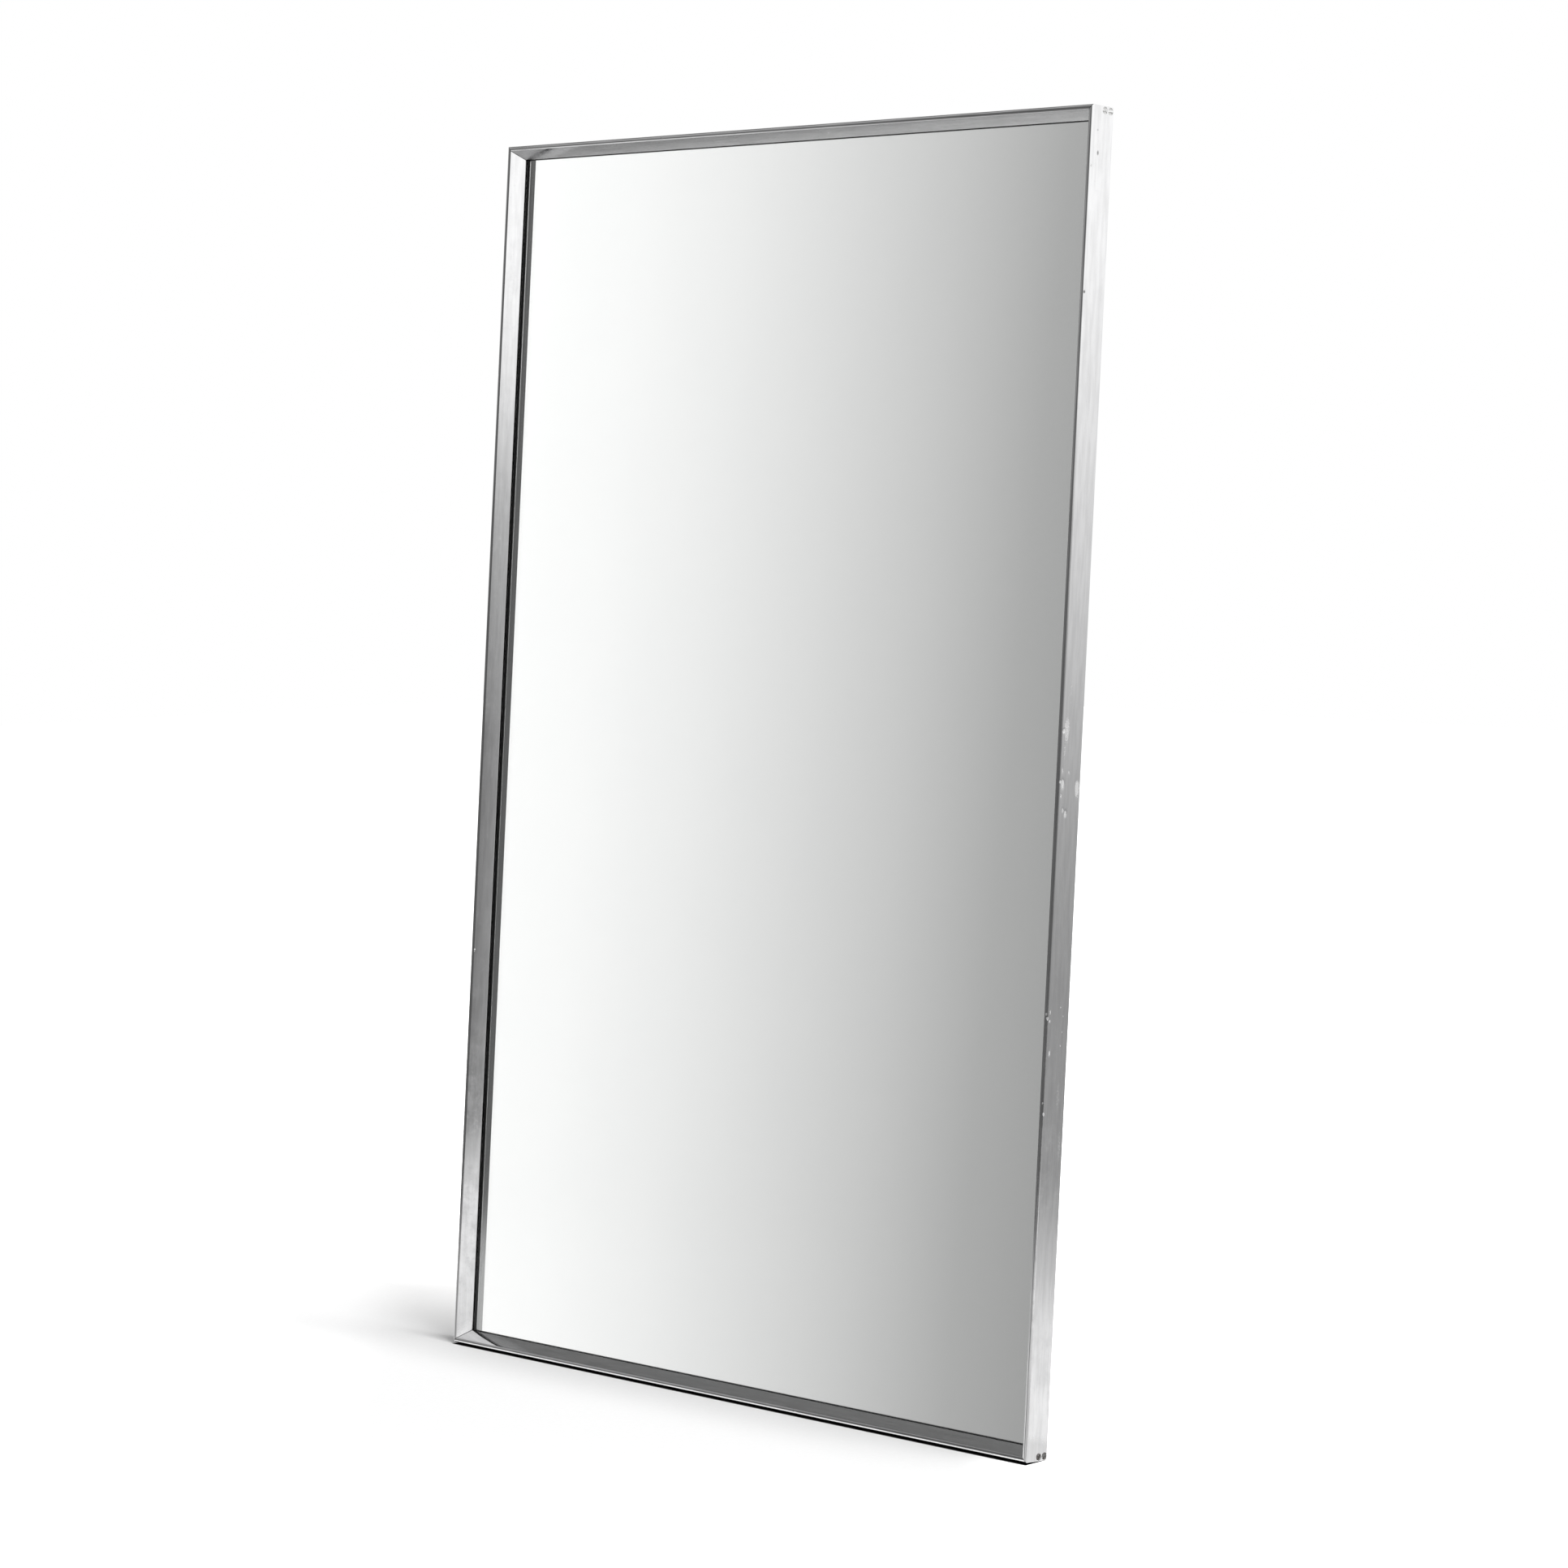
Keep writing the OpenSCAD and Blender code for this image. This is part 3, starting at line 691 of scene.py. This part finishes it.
def place_bar(name, made, start, along, inward):
    """Puts a bar in the frame: start + along * distance + inward * across, and +Y back from the
    front edge, which lies one frame depth in front of the wall."""
    outline, station, flat, worn = made
    across, back, distance = flat.T[:, :, None]
    front = np.array(start) - np.array((0, FRAME_D * MM, 0))
    points = front + distance * np.array(along) + across * np.array(inward)
    points += back * np.array((0, 1, 0))
    rows, columns = len(station), len(outline)
    quads = grid_faces(rows, columns)
    chord = np.linalg.norm(np.roll(outline, -1, 0) - outline, axis=1)
    round_start = np.concatenate([[0], np.cumsum(chord)])
    row, column = np.divmod(np.arange(len(quads)), columns)
    corners = [(row, column), (row, column + 1), (row + 1, column + 1), (row + 1, column)]
    run = np.stack([np.column_stack([station[r], round_start[c]]) for r, c in corners], axis=1)
    return finish_mesh(name, points, quads, grid_caps(rows, columns), run, worn)


print("faces meet sharply above", round(math.degrees(SHARP)), "degrees")

# %% [markdown]
# ## The marks of use
# The photograph shows this frame's life on its right side: a nick in the front corner half way
# up with a spray of scratches beside it, a scraped patch near the wall, and small knocks further
# down. Bump alone would leave the outline of the bar perfect, so the dents are real ones: the
# grid is fine round each mark and its vertices sink along the outline's normals. Each mark is
# (centre, radius, depth, brightness, stretch along the bar), in millimetres, with its centre
# given across from the outer face, back from the front and up from the bar's middle, or to the
# right of it. Below zero the brightness is dirt. Near the top left corner the slope is dull from
# handling, which softens what it reflects.

# %% Marks
HALF_WAY_UP = [
    ((0.0, 2.9, 49), 1.1, 0.30, 1.0, 1.3), ((0.0, 4.2, 54), 0.5, 0.04, 0.9, 4.0),
    ((0.0, 7.0, 50), 3.2, 0.03, 0.80, 3.5), ((0.0, 5.2, 31), 1.5, 0.02, 0.60, 6.0),
    ((0.0, 10.0, 88), 2.6, 0.00, 0.45, 8.0), ((0.0, 12.3, 12), 1.0, 0.03, 0.80, 1.6),
    ((0.0, 3.6, 14), 1.0, 0.04, 0.75, 2.5), ((0.0, 4.5, 2), 1.8, 0.22, 1.0, 2.0),
    ((0.2, 1.6, 4), 0.9, 0.12, 1.0, 1.0), ((0.0, 3.0, -9), 0.9, 0.03, 0.90, 2.0),
    ((0.0, 24.4, -2), 2.7, 0.06, 0.95, 2.6), ((0.0, 6.4, -21), 0.9, 0.14, 1.0, 1.8),
    ((0.0, 10.0, -24), 1.2, 0.28, 1.0, 2.0)]
FURTHER_DOWN = [
    ((2.1, 0.1, -202), 0.9, 0.10, 1.0, 1.0), ((0.9, 0.6, -206), 0.9, 0.15, 1.0, 1.0),
    ((0.0, 2.9, -208), 0.9, 0.10, 1.0, 1.2), ((0.0, 3.2, -200), 0.7, 0.03, 0.90, 3.0),
    ((0.0, 4.5, -237), 1.0, 0.20, 1.0, 2.0), ((1.4, 0.3, -281), 0.7, 0.05, 0.90, 1.0),
    ((0.3, 1.2, -291), 0.8, 0.10, 1.0, 1.4), ((0.0, 17.0, -196), 0.8, 0.02, 0.80, 1.0),
    ((0.0, 21.0, -204), 0.8, 0.02, 0.80, 1.0), ((0.0, 20.4, -218), 0.8, 0.02, 0.80, 1.0),
    ((0.0, 19.0, -230), 0.8, 0.02, 0.80, 1.0), ((0.0, 19.0, -275), 2.4, 0.00, 0.45, 7.0),
    ((0.0, 24.0, -320), 2.2, 0.00, 0.50, 7.0)]
NEAR_THE_TOP = [
    ((0.2, 1.9, 546), 0.8, 0.06, 1.0, 1.2), ((0.3, 1.2, 435), 0.8, 0.06, -0.8, 1.2),
    ((0.0, 10.0, 558), 0.8, 0.05, -0.8, 2.0), ((0.0, 8.4, 578), 0.7, 0.02, -0.4, 1.0)]
LEFT_MARKS = [
    ((0.4, 0.9, 372), 1.0, 0.14, 0.5, 1.5), ((4.3, 0.9, -205), 0.9, 0.12, 0.5, 1.5),
    ((0.0, 12.0, 88), 1.5, 0.10, 0.6, 2.0), ((0.0, 21.0, -410), 1.3, 0.08, 0.6, 2.0),
    ((7.5, 6.4, 210), 0.7, 0.03, 0.6, 2.0), ((9.0, 9.0, -64), 0.7, 0.03, 0.5, 2.0)]
TOP_MARKS = [
    ((8.0, 7.2, 55), 0.7, 0.05, 0.8, 1.0), ((2.0, 0.1, -160), 0.9, 0.08, 0.4, 1.5),
    ((0.0, 9.0, 210), 1.4, 0.10, 0.6, 2.0)]
BOTTOM_MARKS = [
    ((7.5, 6.4, -352), 0.5, 0.03, 0.9, 1.0), ((8.4, 7.8, -338), 0.5, 0.03, 0.9, 1.0),
    ((9.0, 9.0, -300), 0.6, 0.03, 0.7, 1.0), ((6.4, 4.4, -250), 0.5, 0.03, 0.7, 1.0),
    ((2.2, 0.1, 96), 0.9, 0.08, 0.4, 1.5), ((0.0, 8.0, -120), 1.6, 0.12, 0.6, 2.0)]
RIGHT_MARKS = HALF_WAY_UP + FURTHER_DOWN + NEAR_THE_TOP
HAZE_PATCH = ((8.5, 8.5, -355), 20)
print("marks:", sum(map(len, (RIGHT_MARKS, LEFT_MARKS, TOP_MARKS, BOTTOM_MARKS))))

# %% Bars
frame_low, frame_high = Vector(cad_box[0]), Vector(cad_box[1])
FRAME_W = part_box("top_rail")[1].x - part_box("top_rail")[0].x
FRAME_H = frame_high.z - frame_low.z
MIDDLE = Vector((0, 0, (frame_high.z + frame_low.z) / 2))
# Where the painted shade on the lip starts, in millimetres behind the middle of its rounding
RAIL_LIP, STILE_LIP = -0.3, 0.1
# Length, steps across the outer face, marks, share of painted shade on the lip and its start, and haze
BARS = {
    "bottom_rail": (FRAME_W, 14, BOTTOM_MARKS, 0.75, RAIL_LIP, None),
    "top_rail": (FRAME_W, 14, TOP_MARKS, 0.9, RAIL_LIP, HAZE_PATCH),
    "left_stile": (FRAME_H, 14, LEFT_MARKS, 0.1, STILE_LIP, None),
    "right_stile": (FRAME_H, 34, RIGHT_MARKS, 0.5, STILE_LIP, None)}
# Where the middle of its outer face meets the wall, the way it runs and the way inwards
PLACES = {
    "bottom_rail": ((0, 0, -FRAME_H / 2), (1, 0, 0), (0, 0, 1)),
    "top_rail": ((0, 0, FRAME_H / 2), (1, 0, 0), (0, 0, -1)),
    "left_stile": ((-FRAME_W / 2, 0, 0), (0, 0, 1), (1, 0, 0)),
    "right_stile": ((FRAME_W / 2, 0, 0), (0, 0, 1), (-1, 0, 0))}
bars = {}
for node, (offset, along, inward) in PLACES.items():
    mesh = place_bar(node, bar_mesh(*BARS[node]), MIDDLE + Vector(offset), along, inward)
    bars[node] = add_object(node + "_bar", mesh)
    print(node, len(mesh.vertices), "vertices", len(mesh.polygons), "faces")

# %% [markdown]
# ## Screw holes
# Two screws at each corner go through the outer wall of a stile into the ports of a rail, and
# two more hold each hanger under the rear flange. Each hole is a turned shape: a short profile
# of (radius, depth) spun about its axis. A Boolean modifier takes those shapes out of the bars,
# and its result becomes the mesh, so no live modifier is left.

# %% Turned shapes
def turned(profile, centre, axis, steps=48):
    """A closed surface of revolution: each profile point (radius, height) goes round the axis as
    centre + height * axis + radius * (cos * side + sin * other), side and other square to it."""
    axis = Vector(axis).normalized()
    side = axis.orthogonal().normalized()
    other = axis.cross(side)
    angle = np.linspace(0, 2 * math.pi, steps, endpoint=False)
    wheel = np.cos(angle)[:, None] * np.array(side) + np.sin(angle)[:, None] * np.array(other)
    radius, rise = np.array(profile, float).T * MM
    points = np.array(centre) + rise[:, None, None] * np.array(axis) + radius[:, None, None] * wheel
    return points.reshape(-1, 3), len(profile), steps


def turned_mesh(name, shapes):
    """One mesh of several turned shapes, each closed by a flat face at both ends."""
    points, faces = [], []
    for verts, rows, columns in shapes:
        base = sum(map(len, points))
        quads = grid_faces(rows, columns)
        caps = grid_caps(rows, columns)
        if signed_volume(verts, quads) < 0:
            quads, caps = quads[:, ::-1], [cap[::-1] for cap in caps]
        points.append(verts)
        faces += (quads + base).tolist() + [(cap + base).tolist() for cap in caps]
    mesh = bpy.data.meshes.new(name)
    mesh.from_pydata(np.concatenate(points).tolist(), [], faces)
    return mesh


# Radius and depth of the countersink, radius and depth of the hole, and the cutter's overshoot
HEAD_R, HEAD_DEEP, HOLE_R, HOLE_DEEP, PROUD = 3.3, 1.6, 1.75, 6.3, 1
# Room round the head, and the least step that keeps the countersink's floor in its profile
HEAD_GAP, STEP = 0.175, 0.001
# The hanger screws' holes, how far they lie in from the outer face, and their heights
TIE_HEAD_R, TIE_HEAD_DEEP, TIE_R, TIE_DEEP = 2.9, 1.3, 1.6, 2.5
TIE_U, TIE_Z = 12.5, (-6.0, 16.5)
screw_hole = ((HOLE_R, -HOLE_DEEP), (HOLE_R, -HEAD_DEEP),
              (HEAD_R - HEAD_DEEP + HEAD_GAP, -HEAD_DEEP - STEP),
              (HEAD_R + HEAD_GAP, 0), (HEAD_R + HEAD_GAP, PROUD))
tie_hole = ((TIE_R, -TIE_DEEP), (TIE_R, -TIE_HEAD_DEEP), (TIE_HEAD_R, 0), (TIE_HEAD_R, PROUD))
print("hole profiles:", len(screw_hole), "and", len(tie_hole), "points")

# %% Cut the holes
def clean_rims(mesh, wall=2 * MM, reach=12 * MM, front=4 * MM):
    """Takes the dirt off the outer wall near both ends, apart from the front edge: the cut hands
    the dirt of the mitre to the new vertices round each hole, and there it would run out as dark
    lines."""
    co = np.zeros(len(mesh.vertices) * 3)
    mesh.vertices.foreach_get("co", co)
    x, y, z = co.reshape(-1, 3).T
    near = np.minimum(z - frame_low.z, frame_high.z - z) < reach
    dirt_and_shade = np.zeros(len(mesh.vertices))
    mesh.attributes["dirt_and_shade"].data.foreach_get("value", dirt_and_shade)
    dirt_and_shade[(np.abs(x) > FRAME_W / 2 - wall) & near & (y > -FRAME_D * MM + front)] = 0
    mesh.attributes["dirt_and_shade"].data.foreach_set("value", dirt_and_shade.astype(np.float32))


for node, side in (("left_stile", -1), ("right_stile", 1)):
    shapes = [turned(screw_hole, (side * FRAME_W / 2, (v - FRAME_D) * MM, z), (side, 0, 0))
              for v in PORT_V for z in (frame_low.z + PORT_U * MM, frame_high.z - PORT_U * MM)]
    shapes += [turned(tie_hole, (side * (FRAME_W / 2 - TIE_U * MM), 0, z * MM), (0, 1, 0))
               for z in TIE_Z]
    cutter = add_object("cutter", turned_mesh("cutter", shapes))
    cut = bars[node].modifiers.new("holes", "BOOLEAN")
    cut.object, cut.solver = cutter, "EXACT"
    result = bpy.data.meshes.new_from_object(
        bars[node].evaluated_get(bpy.context.evaluated_depsgraph_get()))
    bars[node].modifiers.clear()
    bars[node].data = result
    result.name = node + "_bar"
    clean_rims(result)
    result.set_sharp_from_angle(angle=SHARP)
    bpy.data.objects.remove(cutter)
    print(node, "after cutting:", len(result.vertices), "vertices")

for node, bar in bars.items():
    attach(bar, "root")
    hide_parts(node)

# %% [markdown]
# ## Polished aluminium
# The bars are bright aluminium, worn by hands and cloths. A metal takes its look from three
# things: its colour, how sharply it reflects, and the fine relief of its surface. The die of the
# extrusion press leaves very fine lines along each bar, so their pattern is stretched along the
# run of the metal, which is kept in the UV map. Blotches of dull oxide change the sharpness, and
# long faint streaks show where cloths went. The scuffs are scratches, brighter and much rougher:
# where a mark is strong they cover it, and where it is weak only the deepest ones are left. Dirt
# darkens the mitres, and painted shade darkens the narrow crease where the lip meets the glass.

# %% Patterns of the metal
def streaks(shader, vector, along, across, detail=2.0):
    """Noise drawn out along the first axis of a UV map: along and across are spots per metre."""
    return shader.noise(shader.stretch(vector, (along, across, 1)), 1.0, detail)


# Scales are in spots per metre, and a fade says where a pattern starts to show and is full
frame_metal, metal, spot = material("polished_aluminium")
run = metal.add("UVMap", uv_map="run")
worn, dirt_and_shade, handled = (metal.add("Attribute", attribute_name=name, output="Fac")
                        for name in ("scuff", "dirt_and_shade", "haze"))
die_lines = streaks(metal, run, 1.5, 5200, 3)
hairlines = metal.fade(streaks(metal, run, 26, 2600, 2), 0.66, 0.74)
wipe = metal.fade(streaks(metal, run, 24, 230, 5), 0.34, 0.70)
blotch = metal.noise(spot, 38, 5, 0.62)
bloom = metal.fade(metal.noise(spot, 210, 3, 0.6), 0.45, 0.8)
speck = metal.fade(metal.noise(spot, 900, 1), 0.74, 0.80)
scratch = streaks(metal, run, 900, 2100, 3)
rub = metal.fade(metal.math("SUBTRACT", scratch, metal.blend(worn, 0.86, 0.25)), 0.0, 0.12)
print("patterns:", len(frame_metal.node_tree.nodes), "nodes")

# %% Frame metal
# Blotches double the roughness of the polish, and bloom, scratches and handling add to it
rough = metal.blend(metal.fade(blotch, 0.38, 0.68), 0.05, 0.10)
for part, share in ((bloom, 0.035), (rub, 0.36), (handled, 0.34)):
    rough = metal.plus(rough, part, share)
# Clean metal, wiped streaks, dark specks, bright scratches, dirt, and painted shade in the lip's
# crease, each laid over the last
tone = metal.tint(metal.fade(blotch, 0.35, 0.75), (0.935, 0.935, 0.94, 1), (0.89, 0.89, 0.895, 1))
tone = metal.cover(tone, wipe, 0.8, (0.80, 0.80, 0.805, 1))
tone = metal.cover(tone, speck, 0.55, (0.42, 0.42, 0.43, 1))
tone = metal.tint(rub, tone, grey(0.97))
tone = metal.cover(tone, dirt_and_shade, 0.92, grey(0.02))
# Die lines stand up, hairlines are cut in, and scratches throw up a burr
relief = metal.plus(metal.math("MULTIPLY", die_lines, 0.10), hairlines, -0.12)
relief = metal.plus(relief, rub, 0.9)
surface(metal, {"Base Color": tone, "Metallic": 1.0, "Roughness": rough}, relief, 0.00002)
for bar in bars.values():
    bar.data.materials.clear()
    bar.data.materials.append(frame_metal)
print("frame metal nodes:", len(frame_metal.node_tree.nodes))

# %% [markdown]
# ## Glass and silver
# A mirror is two things: a clear pane, and the silver behind it that sends the light back. They
# are separate solids here, so the reflection comes through 4 mm of glass, and the small step
# between the lip and its own image shows how thick the pane is. In the CAD part the two lie
# flat on each other. A ray that meets two faces at one place can't tell which comes first, so
# the pane is made again with its back a hair in front of the silver, and with the narrow ground
# bevel that a cut pane has round its edges.

# %% Pane
ARRIS = 0.4 * MM
HAIR = 0.02 * MM


def bevelled_sheet(name, low, high, bevel):
    """A flat box with cut edges, as four rings of four corners from the front to the back: both
    faces are drawn in by the bevel, and the full outline lies one bevel inward of each."""
    centre, half = (low + high) / 2, (high - low) / 2
    rings = []
    for depth, drawn in ((low[1], bevel), (low[1] + bevel, 0), (high[1] - bevel, 0), (high[1], bevel)):
        flat = SQUARE * (half[[0, 2]] - drawn) + centre[[0, 2]]
        rings.append(np.column_stack([flat[:, 0], np.full(4, depth), flat[:, 1]]))
    points = np.concatenate(rings)
    quads = grid_faces(4, 4)
    if signed_volume(points, quads) < 0:
        quads = quads[:, ::-1]
    mesh = bpy.data.meshes.new(name)
    mesh.from_pydata(points.tolist(), [], quads.tolist() + [(0, 1, 2, 3), (15, 14, 13, 12)])
    return mesh


low, high = (np.array(corner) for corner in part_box("glass_pane"))
high[1] -= HAIR
pane = add_object("mirror_pane", bevelled_sheet("mirror_pane", low, high, ARRIS))
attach(pane, "root")
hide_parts("glass_pane")
print("pane", (high - low).round(4), "m")

# %% Glass and silver
glass, clear_pane, spot = material("float_glass")
wiped = clear_pane.noise(clear_pane.stretch(spot, (3, 1, 14)), 1.0, 4, 0.6)
film = clear_pane.fade(wiped, 0.60, 0.80, 0.0, 0.012)
surface(clear_pane, {"Base Color": (0.990, 0.994, 0.992, 1), "Roughness": film, "IOR": 1.52,
                     "Transmission Weight": 1.0})
pane.data.materials.append(glass)

silver, coat, spot = material("silver_and_backing_paint")
tone = coat.tint(coat.noise(spot, 9, 3, 0.5), (0.955, 0.955, 0.95, 1), (0.935, 0.937, 0.935, 1))
surface(coat, {"Base Color": tone, "Metallic": 1.0, "Roughness": 0.0})
finish_nodes(silver, "silver_coat")

# %% [markdown]
# ## Screws
# The corner screws are slotted steel with a bright plating. The upper ones are bright. The lower
# ones, near the floor, are given a much darker and browner steel. Both pairs share one recipe,
# with other colours and another share of tarnish.

# %% Screw steel
def plated_steel(name, bright, dull, share, rough):
    """Plated steel whose tarnish covers a given share of it: noise above 1 - share turns dull."""
    made, steel, spot = material(name)
    cloud = steel.noise(spot, 520, 5, 0.65)
    pit = steel.fade(steel.noise(spot, 2600, 2), 0.60, 0.75)
    tarnish = steel.fade(cloud, 0.95 - share, 1.15 - share)
    tone = steel.cover(steel.tint(tarnish, bright, dull), pit, 0.4, (0.10, 0.09, 0.08, 1))
    relief = steel.math("SUBTRACT", steel.math("MULTIPLY", cloud, 0.4), pit)
    surface(steel, {"Base Color": tone, "Metallic": 1.0,
                    "Roughness": steel.blend(tarnish, *rough)}, relief, 0.00003)
    return made


bright_screw = plated_steel("bright_screw_steel", (0.90, 0.90, 0.89, 1), (0.60, 0.58, 0.55, 1),
                            share=0.30, rough=(0.16, 0.5))
darker_lower_screw = plated_steel("darker_lower_screw_steel", (0.25, 0.245, 0.24, 1), (0.12, 0.11, 0.10, 1),
                          share=0.55, rough=(0.28, 0.6))
finish_nodes(bright_screw, "corner_screws_top_left", "corner_screws_top_right")
finish_nodes(darker_lower_screw, "corner_screws_bottom_left", "corner_screws_bottom_right")

# %% [markdown]
# ## Behind the glass
# The strip round the pane is black rubber, a little chalky with age. The back is hardboard:
# pressed brown wood fibre, smooth and shiny on the outer face. Spring steel clips are blued by
# their heat treatment. The hangers are plated with zinc, whose large flat crystals catch the
# light one by one. The packers are hard plastic with the fine grain of their mould.

# %% Rubber and plastic
rubber, gum, spot = material("glazing_rubber")
chalk = gum.fade(gum.noise(spot, 160, 5, 0.7), 0.45, 0.75)
tone = gum.tint(chalk, (0.028, 0.028, 0.028, 1), (0.070, 0.069, 0.067, 1))
surface(gum, {"Base Color": tone, "Roughness": gum.blend(chalk, 0.42, 0.75)},
        gum.noise(spot, 3200, 2), 0.00004)
finish_nodes(rubber, *("glazing_strip_" + side for side in SIDES))

plastic, mould, spot = material("packer_plastic")
flow = mould.noise(mould.stretch(spot, (30, 30, 140)), 1.0, 3)
tone = mould.tint(flow, (0.045, 0.048, 0.05, 1), (0.075, 0.078, 0.08, 1))
surface(mould, {"Base Color": tone, "Roughness": mould.blend(flow, 0.35, 0.5)},
        mould.noise(spot, 4200, 2), 0.00003)
finish_nodes(plastic, "setting_packers", "side_packers_left", "side_packers_right")

# %% Hardboard
hardboard, board, spot = material("hardboard")
wisp = board.noise(board.stretch(spot, (420, 420, 60)), 1.0, 5, 0.7)
cross = board.noise(board.stretch(spot, (60, 420, 420)), 1.0, 5, 0.7)
fibre = board.math("MULTIPLY", board.math("ADD", wisp, cross), 0.5)
cloud = board.noise(spot, 5, 4, 0.6)
fleck = board.fade(board.noise(spot, 700, 3, 0.6), 0.70, 0.76)
tone = board.tint(fibre, (0.135, 0.062, 0.028, 1), (0.36, 0.20, 0.105, 1))
tone = board.tint(board.fade(cloud, 0.3, 0.75, 0.0, 0.5), tone, (0.10, 0.045, 0.022, 1))
tone = board.cover(tone, fleck, 0.7, (0.055, 0.025, 0.014, 1))
surface(board, {"Base Color": tone, "Roughness": board.blend(fibre, 0.34, 0.55)}, fibre, 0.00008)
finish_nodes(hardboard, "backing_board")

# %% Spring steel and zinc
blued, spring, spot = material("blued_spring_steel")
cloud = spring.noise(spot, 90, 4, 0.6)
tone = spring.tint(spring.fade(cloud, 0.3, 0.7), (0.20, 0.23, 0.30, 1), (0.36, 0.31, 0.27, 1))
rolled = spring.noise(spring.stretch(spot, (1, 30, 1)), 400, 3)
surface(spring, {"Base Color": tone, "Metallic": 1.0,
                 "Roughness": spring.blend(cloud, 0.22, 0.42)}, rolled, 0.00002)
finish_nodes(blued, *("spring_clips_" + side for side in SIDES))

zinc, plating, spot = material("zinc_plated_steel")
crystal = plating.add("TexVoronoi", {"Vector": spot, "Scale": 420}, output="Color")
flake = plating.add("SeparateColor", {0: crystal}, output=0)
white_bloom = plating.fade(plating.noise(spot, 240, 5, 0.65), 0.56, 0.74)
tone = plating.tint(flake, (0.56, 0.58, 0.60, 1), (0.72, 0.73, 0.73, 1))
tone = plating.cover(tone, white_bloom, 0.5, (0.78, 0.76, 0.70, 1))
spread = plating.plus(plating.blend(flake, 0.24, 0.40), white_bloom, 0.2)
surface(plating, {"Base Color": tone, "Metallic": 1.0, "Roughness": spread},
        plating.noise(spot, 1500, 3), 0.00002)
finish_nodes(zinc, "hanger_left", "hanger_right", "hanger_screws_left", "hanger_screws_right")
print("finishes:", len(bpy.data.materials))
